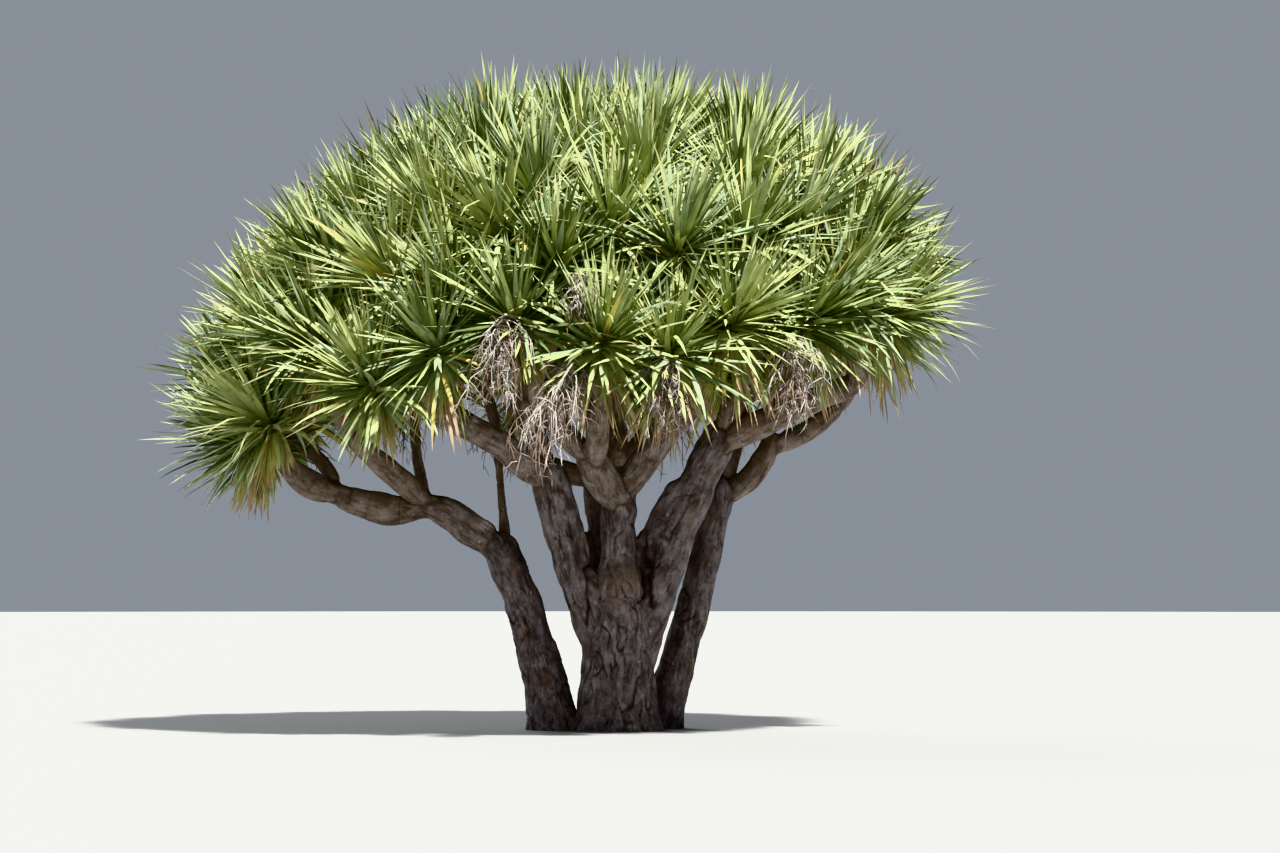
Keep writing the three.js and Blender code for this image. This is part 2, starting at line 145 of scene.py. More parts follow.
# Places along a leaf that have to be clear of bark, and how far a leaf has sagged there
PROBES = np.array((0.25, 0.5, 0.8, 1.0))
PROBE_SAGS = np.array((0.0, 0.07, 0.22, 0.4))
DRY_PROBES = np.array((0.4, 0.7, 1.0))

# Sections of a leaf from its root to its tip, its width there, and how deep its channel is
LEAF_AT = np.array((0.0, 0.11, 0.32, 0.56, 0.80, 1.0))
LEAF_WIDE = np.array((0.82, 0.92, 1.0, 0.83, 0.46, 0.0))
LEAF_CHANNEL = np.array((0.5, 0.42, 0.32, 0.26, 0.2, 0.0))

# Plain colours of the leaves, and how they are dealt out
TINTS = {
    "leaf_base": (0.365, 0.39, 0.146),
    # Painted sunlight: the colour of a sunlit leaf, given to some blades and withered leaves
    "leaf_bright": (0.355, 0.393, 0.178),
    "leaf_green": (0.288, 0.333, 0.144),
    "leaf_grey_green": (0.245, 0.30, 0.172),
    # Painted shade: the colour of a shaded leaf, given to some blades and to the roots of old leaves
    "leaf_deep": (0.085, 0.115, 0.046),
    "leaf_yellow": (0.46, 0.42, 0.145),
    "leaf_tip": (0.22, 0.175, 0.085),
    "leaf_dry": (0.42, 0.31, 0.19),
}
TINT = {name: i for i, name in enumerate(TINTS)}
BLADE_TINTS = np.array([TINT["leaf_" + n] for n in ("bright", "green", "grey_green", "deep")])
BLADE_CHANCES = (0.20, 0.34, 0.26, 0.20)
FAVOURED = 0.6  # each rosette leans to one of the blades' colours by this much
YELLOW_FROM = 0.82
YELLOW_OVER = 0.18
YELLOW_CHANCE = (0.008, 0.10)
BROWN_TIP_CHANCE = 0.09
# Leaves older than this get painted shade at their roots
OLD_ROOTS_SHADED_FROM = 0.75
# Withered leaves are dealt dry, yellow and the bright green, the last being painted sunlight
DRY_TINTS = np.array([TINT["leaf_" + n] for n in ("dry", "yellow", "bright")])
DRY_CHANCES = (0.30, 0.20, 0.50)
STREAK = (0.8, 1.22)  # how dark and how pale a leaf's lengthwise streaks are
TWIG_BARK = (0.17, 0.125, 0.09)
STALK_PALE = (0.37, 0.335, 0.30)
STALK_BROWN = (0.16, 0.12, 0.095)

# The dry sprays that show in front: X and Z of the place that each hangs from, its length, its lean,
# and how far it reaches out before it hangs, as a share of its length
FRONT_SPRAYS = (
    (-506, 2076, 430, 0.0, 0.95),
    (-190, 1850, 480, -0.4, 0.62),
    (223, 1880, 360, -0.1, 0.62),
    (785, 2000, 400, -0.15, 0.62),
    (745, 2660, 280, 0.1, 1.5),
    (-177, 2300, 250, 0.0, 1.5),
)
BACK_SPRAY = SimpleNamespace(length=430, reach=0.56, chance=0.4, below=64, behind=200)
SPRAY_BRANCHES = 40

# Thickness of a spray's twigs at their start and end, and how far they wander
STALK = (7, 3.5)
BRANCH = (4.0, 2.3)
SIDE_TWIG = (2.8, 1.6)
END_TWIG = (2.1, 1.2)
TWIG_WANDER = 4.5


def shoot(parent, at, tip, thick, bow=(0, 0, 0), **more):
    return dict(parent=parent, at=at, tip=tip, thick=thick, bow=bow, **more)


# Limbs, as in the source: the parent and the share of its length where the limb starts, where it ends,
# its radius at the root and at the tip, and how its middle stands off the straight line. A swell is
# where along the limb it lies, by how much, and over which share of the length
LIMBS = {
    "trunk": dict(root=(0, 0, 0), tip=(5, 0, 615), thick=(170, 182), flare=0.45),
    "centre_bough": shoot("trunk", 0.69, (10, -40, 1210), (90, 90), swell=(0.43, 0.55, 0.13)),
    "left_bough": shoot("trunk", 0.66, (-350, -150, 1320), (102, 95), (-22, 0, 0), shift=(-42, -10, 0)),
    "right_bough": shoot("trunk", 0.66, (530, 30, 1510), (120, 94), (-36, 0, 0), shift=(72, 10, 0)),
    "back_bough": shoot("trunk", 0.66, (-130, 430, 1360), (78, 64), (12, 0, 0), shift=(-30, 60, 0)),
    "left_stem": dict(root=(-345, 60, 0), tip=(-612, 110, 945), bow=(42, 0, 14), thick=(112, 88),
                      flare=0.35),
    "right_stem": dict(root=(205, 305, 0), tip=(535, 400, 1245), bow=(25, 0, 0), thick=(98, 74),
                       flare=0.35),
    "left_bough_outer": shoot("left_bough", 0.95, (-945, -650, 1635), (80, 60), (0, 0, 48)),
    "left_bough_upper": shoot("left_bough", 0.97, (-485, -260, 1705), (72, 56)),
    "front_bough": shoot("centre_bough", 0.97, (-125, -290, 1390), (86, 82), (0, -20, -20)),
    "centre_bough_right": shoot("centre_bough", 0.99, (375, -380, 1660), (78, 62), (-8, 0, 12)),
    "centre_bough_top": shoot("centre_bough", 0.97, (0, 60, 1590), (62, 52)),
    "front_bough_upper": shoot("front_bough", 0.95, (-80, -640, 1645), (64, 54), (0, -20, -20)),
    "front_bough_left": shoot("front_bough", 0.95, (-365, -560, 1635), (60, 52)),
    "right_bough_outer": shoot("right_bough", 0.97, (1200, -330, 1780), (74, 62), (0, 0, 10)),
    "right_bough_upper": shoot("right_bough", 0.97, (650, -60, 1755), (70, 60)),
    "back_bough_left": shoot("back_bough", 0.95, (-880, 930, 1680), (62, 52), (0, 20, -50)),
    "back_bough_middle": shoot("back_bough", 0.97, (-120, 1010, 1690), (62, 52), (0, 30, -50)),
    "back_bough_right": shoot("back_bough", 0.93, (300, 880, 1800), (56, 50), (20, 20, -50)),
    "right_stem_outer": shoot("right_stem", 0.96, (815, 450, 1505), (62, 58), (28, 0, -28)),
    "right_stem_rear": shoot("right_stem", 0.96, (660, 590, 1630), (56, 50)),
    "right_stem_tip": shoot("right_stem_outer", 0.96, (1150, 500, 1670), (62, 46), (10, 0, -18)),
    "right_stem_upper": shoot("right_stem_outer", 0.95, (830, 800, 1690), (48, 44), (-20, 0, 0)),
    "left_stem_reach": shoot("left_stem", 0.96, (-990, 40, 1170), (84, 66), (-6, 0, 38),
                             swell=(0.5, 0.12, 0.3)),
    "left_stem_upright": shoot("left_stem", 0.89, (-633, 360, 1515), (29, 27), (-6, 0, 0)),
    "left_stem_sweep": shoot("left_stem_reach", 0.97, (-1455, -40, 1230), (64, 60), (0, 0, -46),
                             swell=(0.5, 0.30, 0.28)),
    "left_reach_rise": shoot("left_stem_reach", 0.93, (-1355, -350, 1508), (52, 48), (0, 0, -6),
                             swell=(0.45, 0.25, 0.3)),
    "left_reach_upright": shoot("left_stem_reach", 0.97, (-1065, 230, 1620), (32, 30), (-20, 0, 0)),
    "left_sweep_tip": shoot("left_stem_sweep", 0.97, (-1740, -160, 1425), (64, 50), (-25, 0, -28),
                            swell=(0.4, 0.28, 0.28)),
    "left_sweep_upper": shoot("left_stem_sweep", 0.97, (-1655, 150, 1480), (38, 34), (30, 0, 20)),
}
FLARE_HEIGHT = 140

# Each mass of foliage: its bough, and the leading rosette's angle round the dome and down it
MASSES = {
    "foliage_far_left": ("left_sweep_tip", 187, 92),
    "foliage_left_rear": ("left_sweep_upper", 166, 77),
    "foliage_left_front": ("left_reach_rise", 220, 73),
    "foliage_left_top": ("left_reach_upright", 186, 48),
    "foliage_back_left_top": ("left_stem_upright", 138, 54),
    "foliage_front_left": ("left_bough_outer", 247, 77),
    "foliage_front_left_top": ("left_bough_upper", 238, 44),
    "foliage_front_middle": ("front_bough_left", 268, 60),
    "foliage_front": ("front_bough_upper", 276, 80),
    "foliage_front_right": ("centre_bough_right", 299, 78),
    "foliage_top": ("centre_bough_top", 270, 14),
    "foliage_right_front": ("right_bough_outer", 325, 76),
    "foliage_right_top": ("right_bough_upper", 318, 42),
    "foliage_right": ("right_stem_tip", 2, 76),
    "foliage_back_right": ("right_stem_upper", 38, 76),
    "foliage_right_rear_top": ("right_stem_rear", 18, 42),
    "foliage_back_right_top": ("back_bough_right", 72, 60),
    "foliage_back": ("back_bough_middle", 98, 80),
    "foliage_back_left": ("back_bough_left", 134, 80),
}

# The masses whose leaves are joined into each piece
LEAF_PIECES = {
    "leaves_left": ("foliage_far_left", "foliage_left_rear", "foliage_left_front", "foliage_left_top"),
    "leaves_front": ("foliage_front_left", "foliage_front_left_top", "foliage_front_middle",
                     "foliage_front", "foliage_front_right"),
    "leaves_right": ("foliage_right_front", "foliage_right_top", "foliage_right",
                     "foliage_back_right", "foliage_right_rear_top"),
    "leaves_back": ("foliage_back_right_top", "foliage_back", "foliage_back_left",
                    "foliage_back_left_top"),
    "leaves_top": ("foliage_top",),
}

# How old and rough each limb's bark is, up to 1. The other limbs carry smooth young bark
ROUGH_LIMBS = {
    "trunk": 1.0, "left_stem": 0.95, "right_stem": 0.9, "left_bough": 0.85, "right_bough": 0.85,
    "centre_bough": 0.85, "back_bough": 0.7, "left_stem_reach": 0.35, "left_bough_outer": 0.25,
    "centre_bough_right": 0.3, "front_bough": 0.15,
}

# The skin round the limbs
STEM = "_mass_stem"
MOST_TRIANGLES = {"bark_trunk_and_boughs": 190000, "bark_left_stem": 80000, "bark_right_stem": 60000}
VOXEL = 7.0
SMOOTHING = 16
RING_STEP = 20
MEASURE_STEP = 10
MEASURE_MARGIN = 60
SHOULDER_HIGH = 130  # how far the trunk's top rises between its boughs as it closes
SHOULDER_CLOSES = 0.65
SHOULDER_POWER = 1.6

# How a limb narrows and swells: by which share, how far from its end, and over which length
TIP_SWELL = (0.07, 60, 70)
ROOT_NECK = (0.12, 0, 42)
ROOT_SWELL = (0.07, 140, 75)

# Forks that are rounded off more than the others: where, how large, and how many rounds of smoothing
SOFT_FORKS = (
    ((0, 0, 700), (260, 260, 110), 12),
    ((-30, -150, 1290), (220, 260, 190), 60),
)

# Swellings that fill the crotches between the boughs: both ends and the radius
FORK_FILLS = (
    ((2.0, -75, 1250), (2.0, -75, 1274), 104),
    ((108.0, 25, 830), (333.0, 30, 1220), 88),
    ((-110.0, 120, 700), (-165.0, 265, 985), 46),
)

# The noises of the bark: the size of their cells across and along the limb, their seed and strength
BARK_NOISES = {
    "lump": ((100, 100, 120), 1, 10.5),
    "small_lump": ((46, 46, 60), 2, 5.5),
    "wide_crack": ((36, 36, 130), 3, 1),
    "fine_crack": ((15, 15, 60), 4, 1),
    "fibre": ((15, 15, 45), 5, 3.5),
    "ring_wander": ((50, 50, 400), 6, 9),
    "pimple": ((10, 10, 10), 7, 1),
    "broken": ((70, 70, 70), 8, 1.2),
    "scoop": ((75, 75, 150), 9, 1),
    "nub": ((24, 24, 24), 11, 3.0),
}
CRACK_WARP = (16, 60, 10)  # how far the cracks are pushed about, over which length, and the seed
CRACK_WIDTHS = {"wide_crack": 0.14, "fine_crack": 0.22}
SCOOP_FROM = 0.42
SCOOP_OVER = 0.58
RING_APART = 19
DEEP_RING_APART = 163
DEEP_RING_FROM = 0.88
PLATE_HIGH = 4.0

# How deep each hollow form of the bark is, and how much painted shade darkens the bark there
DEEP = SimpleNamespace(wide=9.0, fine=3.5, scoop=22, ring=1.8, deep_ring=5.0, crease=7)
PAINTED_SHADE_STRENGTH = SimpleNamespace(wide=0.75, fine=0.5, ring=0.3, crease=0.4, hollow=0.6, scoop=0.35, seam=0.7)

# The border between two limbs: how it wanders, its height, and the width of its blend and crease
LIMB_APART = 977  # keeps the patterns of two limbs from matching
BORDER_WANDER = (16, 48, 60)
BORDER_HIGH = 4
BORDER_BLEND = 36
LIMB_CREASE_WIDTH = 15

# Hollows in the wood, carved in and darkened with painted shade: where, how large along each axis, and how
# deep
HOLLOWS = (
    ((-200, -150, 900), (38, 60, 90), 24),
    ((190, -70, 930), (42, 70, 110), 30),
    ((150, -90, 770), (30, 60, 60), 22),
    ((-330, 20, 780), (40, 50, 70), 16),
)

# The swollen knot at the low fork, where warm bark flakes
KNOT = (6, -120, 745)
KNOT_SIZE = (200, 200, 170)
KNOT_HIGH = 34
KNOT_WARP = (14, 55, 30)
KNOT_STEEP = 1.3
RUST_OUT = 1.2
RUST_LESS = 0.4

# Creases on the front of the fork, beside and under the knot: X and Z of their ends, width and depth
# The deeper a crease, the darker the painted shade along it
FRONT_CREASES = (
    ((-112, 960), (-146, 790), 15, 30),
    ((-146, 790), (-150, 560), 12, 20),
    ((118, 1060), (160, 880), 24, 34),
    ((160, 880), (178, 660), 15, 26),
    ((-146, 668), (-92, 622), 9, 9),
    ((-92, 622), (-20, 590), 15, 8),
    ((-20, 590), (88, 640), 15, 7),
    ((88, 640), (150, 706), 9, 9),
)
DEEPEST_CREASE = 34
CREASE_WARP = (15, 40, 40)
FRONT_FADE = 60

# Creases that run down the back of the trunk from between its boughs: their angles, width and depth
# These creases are darkened with painted shade too
CREASE_ANGLES = (0.35, 1.35, 2.6)
CREASE_WIDTH = 0.13
CREASE_DEPTH = 22
CREASE_TURN = (0.12, 90, 20)
CREASE_INSIDE = 300
CREASE_FROM = (330, 230)  # the height from which they show, and the length over which they come
CREASE_TO = (900, 100)

# Colours of the bark, each with its place along a noise or a measure
WHITE = (1.0, 1.0, 1.0)
BLACK = (0.0, 0.0, 0.0)
OLD_BARK = ((0.30, (0.11, 0.10, 0.103)), (0.50, (0.20, 0.18, 0.184)), (0.70, (0.32, 0.298, 0.302)))
YOUNG_BARK = ((0.30, (0.15, 0.12, 0.102)), (0.52, (0.25, 0.205, 0.175)), (0.72, (0.35, 0.305, 0.27)))
GRAIN = ((0.40, (0.34, 0.31, 0.28)), (0.56, WHITE))
RUST = (0.20, 0.132, 0.095, 1)
RUST_WEIGHT = 0.13
RUST_WHERE = ((0.46, BLACK), (0.64, (0.45, 0.45, 0.45)))
FLECK = (0.36, 0.33, 0.29, 1)
FLECK_WHERE = ((0.66, BLACK), (0.72, (0.8, 0.8, 0.8)))
# Painted shade where the bark's skin is hollow, read from its pointiness
SHADE_IN_HOLLOWS = ((0.43, (0.14, 0.12, 0.11)), (0.505, WHITE))
# Painted shade in the cracks, rings, creases, hollows, scoops and seams
SHADE_IN_CRACKS = ((0.1, WHITE), (0.85, (0.16, 0.12, 0.10)))

# Camera and light
CAMERA_PLACE = (0.120, -24.96, 0.8736)
CAMERA_TILT = 1.617
CAMERA_LENS = 135
EXPOSURE = 0.35
LIGHTS_AIM = (-0.2, 0.0, 1.7)
LIGHTS = (  # name, place, strength, colour and how soft in degrees
    ("key", (2.6, -5.4, 10.5), 10.6, (1.0, 0.985, 0.95), 3),
    ("fill", (-7.0, -11.0, 3.4), 0.5, (1.0, 0.97, 0.94), 50),
    ("back", (-6.0, 10.0, 7.0), 2.0, (0.97, 0.985, 1.0), 50),
)
SKY_COLOUR = (0.80, 0.88, 1.0, 1)
SKY_STRENGTH = 0.28
FLOOR_COLOUR = (0.26, 0.26, 0.255)
FLOOR_RADIUS = 60


# Small helpers

def unit(v):
    return v / np.maximum(np.linalg.norm(v, axis=-1, keepdims=True), 1e-9)


def lerp(a, b, t):
    return a + (b - a) * t


def clamped(t):
    return np.clip(t, 0, 1)


def eased(t):
    return t * t * (3 - 2 * t)


def hump(away, width):
    return np.exp(-((away / width) ** 2))


def blob(points, at, size):
    return np.exp(-np.sum(((points - at) / size) ** 2, axis=1))


def turned(v, axis, angle):
    """v turned about a unit axis, by Rodrigues' formula. Works on arrays of rows too."""
    c, s = np.cos(angle)[..., None], np.sin(angle)[..., None]
    along = np.sum(axis * v, axis=-1, keepdims=True)
    return v * c + np.cross(axis, v) * s + axis * along * (1 - c)


def ways_round(axis, turns):
    """A way square to the axis for each angle of turn."""
    seed = unit(np.cross(axis, SKEW_LEVEL))
    return turned(np.broadcast_to(seed, (len(turns), 3)), axis, turns)


def noise3(p, seed):
    """Smooth value noise from -1 to 1 at each row of p."""
    cell = np.floor(p).astype(np.int64)
    part = eased(p - cell)
    total = np.zeros(len(p))
    for corner in itertools.product((0, 1), repeat=3):
        x, y, z = (cell + corner).T
        mixed = (x * HASH[0]) ^ (y * HASH[1]) ^ (z * HASH[2]) ^ (seed * HASH[3])
        mixed = ((mixed ^ (mixed >> 13)) * HASH[4]) & 0x7FFFFFFF
        value = ((mixed ^ (mixed >> 16)) & 0xFFFF) / 32767.5 - 1
        total += value * np.prod(np.where(corner, part, 1 - part), axis=1)
    return total


def warped(points, warp):
    """How far each point is pushed about. A warp is by how much, over which length, and a seed."""
    far, over, seed = warp
    return np.column_stack([noise3(points / over, seed + k) for k in range(3)]) * far


class Curve:
    """A quadratic curve, read at equal shares of its length."""

    def __init__(self, start, control, end, samples=160):
        t = np.linspace(0, 1, samples)[:, None]
        self.points = start * (1 - t) ** 2 + control * 2 * t * (1 - t) + end * t ** 2
        steps = np.linalg.norm(np.diff(self.points, axis=0), axis=1)
        self.run = np.concatenate(([0], np.cumsum(steps)))
        self.length = self.run[-1]

    def at(self, share):
        return np.stack([np.interp(share * self.length, self.run, c) for c in self.points.T], axis=-1)

    def way(self, share):
        return unit(self.at(min(1, share + 0.01)) - self.at(max(0, share - 0.01)))


def fill(items, key, values, kind=np.float32):
    items.foreach_set(key, np.asarray(values).astype(kind).ravel())


def linked(name, data):
    piece = bpy.data.objects.new(name, data)
    bpy.context.scene.collection.objects.link(piece)
    return piece


class Pile:
    """Vertices, faces and the material number of each face, piled up for one joined mesh."""

    def __init__(self):
        self.points, self.quads, self.triangles = [], [], []
        self.quad_tints, self.triangle_tints = [], []
        self.count = 0

    def add(self, points, quads, triangles, quad_tints, triangle_tints):
        self.points.append(points)
        self.quads.append(quads + self.count)
        self.triangles.append(triangles + self.count)
        self.quad_tints.append(np.broadcast_to(quad_tints, len(quads)))
        self.triangle_tints.append(np.broadcast_to(triangle_tints, len(triangles)))
        self.count += len(points)

    def tube(self, path, radii, sides, tint=0):
        """A closed tube along a path, its rings turned with it and its ends closed by fans."""
        ways = unit(np.gradient(path, axis=0))
        side = unit(np.cross(ways[0], SKEW))
        angles = np.linspace(0, 2 * math.pi, sides, endpoint=False)[:, None]
        rings = []
        for place, way, radius in zip(path, ways, radii):
            side = unit(side - way * np.dot(side, way))
            other = np.cross(way, side)
            rings.append(place + radius * (np.cos(angles) * side + np.sin(angles) * other))
        n = len(path)
        points = np.concatenate(rings + [path[:1], path[-1:]])
        ring, turn = np.meshgrid(np.arange(n - 1) * sides, np.arange(sides), indexing="ij")
        after = (turn + 1) % sides
        quads = np.stack((ring + turn, ring + after, ring + sides + after, ring + sides + turn), -1)
        here = np.arange(sides)
        there = (here + 1) % sides
        low = np.stack((there, here, np.full(sides, n * sides)), -1)
        high = np.stack((here, there, np.full(sides, 0)), -1) + (n - 1) * sides
        high[:, 2] = n * sides + 1
        self.add(points, quads.reshape(-1, 4), np.concatenate((low, high)), tint, tint)

    def ball(self, centre, radius):
        """A round end, as a tube whose rings swell and close again."""
        angles = np.linspace(0.12, math.pi - 0.12, 9)
        self.tube(centre + np.outer(-np.cos(angles) * radius, UP), np.sin(angles) * radius, 20)

    def mesh(self, name, materials):
        points = np.concatenate(self.points) * MM
        quads = np.concatenate(self.quads)
        triangles = np.concatenate(self.triangles)
        corners = np.concatenate((quads.ravel(), triangles.ravel()))
        quad_starts = np.arange(len(quads)) * 4
        starts = np.concatenate((quad_starts, len(quads) * 4 + np.arange(len(triangles)) * 3))
        tints = np.concatenate(self.quad_tints + self.triangle_tints)
        mesh = bpy.data.meshes.new(name)
        mesh.vertices.add(len(points))
        fill(mesh.vertices, "co", points)
        mesh.loops.add(len(corners))
        fill(mesh.loops, "vertex_index", corners, np.int32)
        mesh.polygons.add(len(starts))
        fill(mesh.polygons, "loop_start", starts, np.int32)
        fill(mesh.polygons, "material_index", tints, np.int32)
        fill(mesh.polygons, "use_smooth", np.full(len(starts), True), bool)
        for material in materials:
            mesh.materials.append(material)
        mesh.update(calc_edges=True)
        mesh.validate()
        return linked(name, mesh)


# The limbs and the crown's plan

def grow_limbs():
    for limb in LIMBS.values():
        parent = LIMBS.get(limb.get("parent"))
        tip = np.array(limb["tip"], float)
        if parent:
            root = parent["curve"].at(limb["at"]) + np.array(limb.get("shift", (0, 0, 0)), float)
        else:
            root = np.array(limb["root"], float)
            root -= unit(tip - root) * limb["thick"][0]
        bow = np.array(limb.get("bow", (0, 0, 0)), float)
        limb["curve"] = Curve(root, (root + tip) / 2 + 2 * bow, tip)


def limb_radius(limb, share):
    radius = lerp(*limb["thick"], share)
    height = np.maximum(0, limb["curve"].at(share)[..., 2])
    radius = radius * (1 + limb.get("flare", 0) * np.exp(-height / FLARE_HEIGHT))
    if "swell" in limb:
        at, by, over = limb["swell"]
        radius = radius * (1 + by * hump(share - at, over))
    return radius


def on_dome(around, down):
    """The heart of a rosette on the dome, and the way that it points. Angles in radians."""
    out = np.array((math.cos(around), math.sin(around), 0.0))
    heart = DOME_HALF * (math.sin(down) * out[0], math.sin(down) * out[1], math.cos(down))
    heart[2] += DOME_SLOPE * heart[0]
    heart += BULGE * min(1, max(0, (heart[0] - BULGE_FROM) / BULGE_FROM))
    return heart + DOME_CENTRE, unit(out * math.sin(down) + UP * AXIS_RISE)


def rim_down(around):
    return math.radians(RIM_DOWN + RIM_DIP_LEFT * max(0, -math.cos(around)) ** RIM_DIP_NARROW)


def rimness(down):
    """From 0 near the crown's top to 1 near its rim."""
    return min(1, max(0, (down - RIM_FROM) / RIM_OVER))


def distance_to_line(points, start, end):
    along = end - start
    share = clamped(((points - start) @ along) / (along @ along))
    return np.linalg.norm(points - (start + share[..., None] * along), axis=-1)


def room_in_space(point, masses):
    """For each mass, how much nearer the point is to its spine than to any other's."""
    away = np.array([distance_to_line(point[None], m["tip"], m["lead"])[0] for m in masses])
    order = np.sort(away)
    return np.where(away == order[0], order[1], order[0]) - away


def make_masses():
    masses = []
    for name, (bough, around, down) in MASSES.items():
        lead, axis = on_dome(math.radians(around), math.radians(down))
        leader = dict(heart=lead, axis=axis, leader=True, down=down)
        tip = np.array(LIMBS[bough]["tip"], float)
        masses.append(dict(name=name, bough=bough, tip=tip, lead=lead, rosettes=[leader]))
    return masses


def spread_rosettes(masses):
    """The source's rosettes first, then finer ones between them."""
    hearts = [mass["lead"] for mass in masses]
    for leader in (True, False):
        for i in range(1, LEADER_TRIES if leader else FINE_TRIES):
            around = 2 * math.pi * ((i * EVEN_STEPS[0]) % 1)
            share = (i * EVEN_STEPS[1]) % 1
            down = math.acos(lerp(1, math.cos(rim_down(around)), share))
            heart, axis = on_dome(around, down)
            down = math.degrees(down)
            spacing = LEADER_SPACING if leader else lerp(*FINE_SPACING, rimness(down))
            if np.min(np.linalg.norm(np.array(hearts) - heart, axis=1)) < spacing:
                continue
            room = room_in_space(heart, masses)
            best = int(np.argmax(room))
            if leader and room[best] <= LEADER_TO_BORDER:
                continue
            hearts.append(heart)
            masses[best]["rosettes"].append(dict(heart=heart, axis=axis, leader=leader, down=down))


def grow_twigs(masses):
    """Each mass's stem and fork, and the twig of each rosette. Finer twigs leave a leader's twig."""
    for mass in masses:
        leaders = [r for r in mass["rosettes"] if r["leader"]]
        start = mass["tip"]
        way = LIMBS[mass["bough"]]["curve"].way(1)
        fork = lerp(start, np.mean([r["heart"] for r in leaders], axis=0), FORK_SHARE)
        turn = start + way * np.linalg.norm(fork - start) * STEM_TURN
        mass["stem"] = Curve(start - way * STEM_SUNK, turn, fork)
        for rosette in leaders:
            rosette["twig"] = twig_curve(fork, rosette)
        for rosette in mass["rosettes"]:
            if rosette["leader"]:
                continue
            near = min(leaders, key=lambda r: np.linalg.norm(r["heart"] - rosette["heart"]))
            rosette["heart"] = lerp(fork, rosette["heart"], lerp(*FINE_DEPTH, rng.rand()))
            rosette["twig"] = twig_curve(near["twig"].at(lerp(*FINE_TWIG_AT, rng.rand())), rosette)


def twig_curve(start, rosette):
    pull = np.linalg.norm(rosette["heart"] - start) * TWIG_PULL
    return Curve(start, rosette["heart"] - rosette["axis"] * pull, rosette["heart"])


def add_mass_stems(masses):
    """The stem of each mass goes on from its bough, so that it gets the same bark."""
    for mass in masses:
        bough = mass["bough"]
        thick = (LIMBS[bough]["thick"][1], TWIG_RADIUS * 1.1)
        LIMBS[bough + STEM] = dict(parent=bough, curve=mass["stem"], thick=thick)


# Materials

def node_material(name, rough, specular=0.5):
    material = bpy.data.materials.new(name)
    material.use_nodes = True
    tree = material.node_tree
    shader = tree.nodes["Principled BSDF"]
    shader.inputs["Roughness"].default_value = rough
    shader.inputs["Specular IOR Level"].default_value = specular
    return material, tree, shader


def add_node(tree, kind, inputs, **settings):
    """A new node's outputs. Of the inputs, sockets are linked and values are set."""
    node = tree.nodes.new(kind)
    for name, value in settings.items():
        setattr(node, name, value)
    for key, value in inputs.items():
        if isinstance(value, bpy.types.NodeSocket):
            tree.links.new(value, node.inputs[key])
        else:
            node.inputs[key].default_value = value
    return node.outputs


def attribute_node(tree, name, output="Fac"):
    return add_node(tree, "ShaderNodeAttribute", {}, attribute_name=name)[output]


def noise_node(tree, source, scale, detail, rough=0.6):
    inputs = {"Vector": source, "Scale": scale, "Detail": detail, "Roughness": rough}
    return add_node(tree, "ShaderNodeTexNoise", inputs)["Fac"]


def ramp_node(tree, source, stops):
    node = tree.nodes.new("ShaderNodeValToRGB")
    ramp = node.color_ramp
    while len(ramp.elements) < len(stops):
        ramp.elements.new(0.5)
    for element, (position, colour) in zip(ramp.elements, stops):
        element.position = position
        element.color = (*colour, 1)
    tree.links.new(source, node.inputs["Fac"])
    return node.outputs["Color"]


def mix_node(tree, factor, a, b, blend="MIX"):
    inputs = {0: factor, 6: a, 7: b}
    return add_node(tree, "ShaderNodeMix", inputs, data_type="RGBA", blend_type=blend)[2]


def bump_node(tree, shader, height, strength, distance):
    inputs = {"Height": height, "Strength": strength, "Distance": distance}
    normal = add_node(tree, "ShaderNodeBump", inputs)["Normal"]
    tree.links.new(normal, shader.inputs["Normal"])


def leaf_material(name, colour, rough=0.50):
    """A leaf's plain colour, a little lighter and darker in fine streaks."""
    material, tree, shader = node_material(name, rough, 0.25)
    place = add_node(tree, "ShaderNodeTexCoord", {})["Object"]
    dark, pale = (tuple(min(1, c * by) for c in colour) for by in STREAK)
    streak = ramp_node(tree, noise_node(tree, place, 9, 3), ((0.35, dark), (0.65, pale)))
    tree.links.new(streak, shader.inputs["Base Color"])
    bump_node(tree, shader, noise_node(tree, place, 160, 2), 0.15, 0.001)
    return material


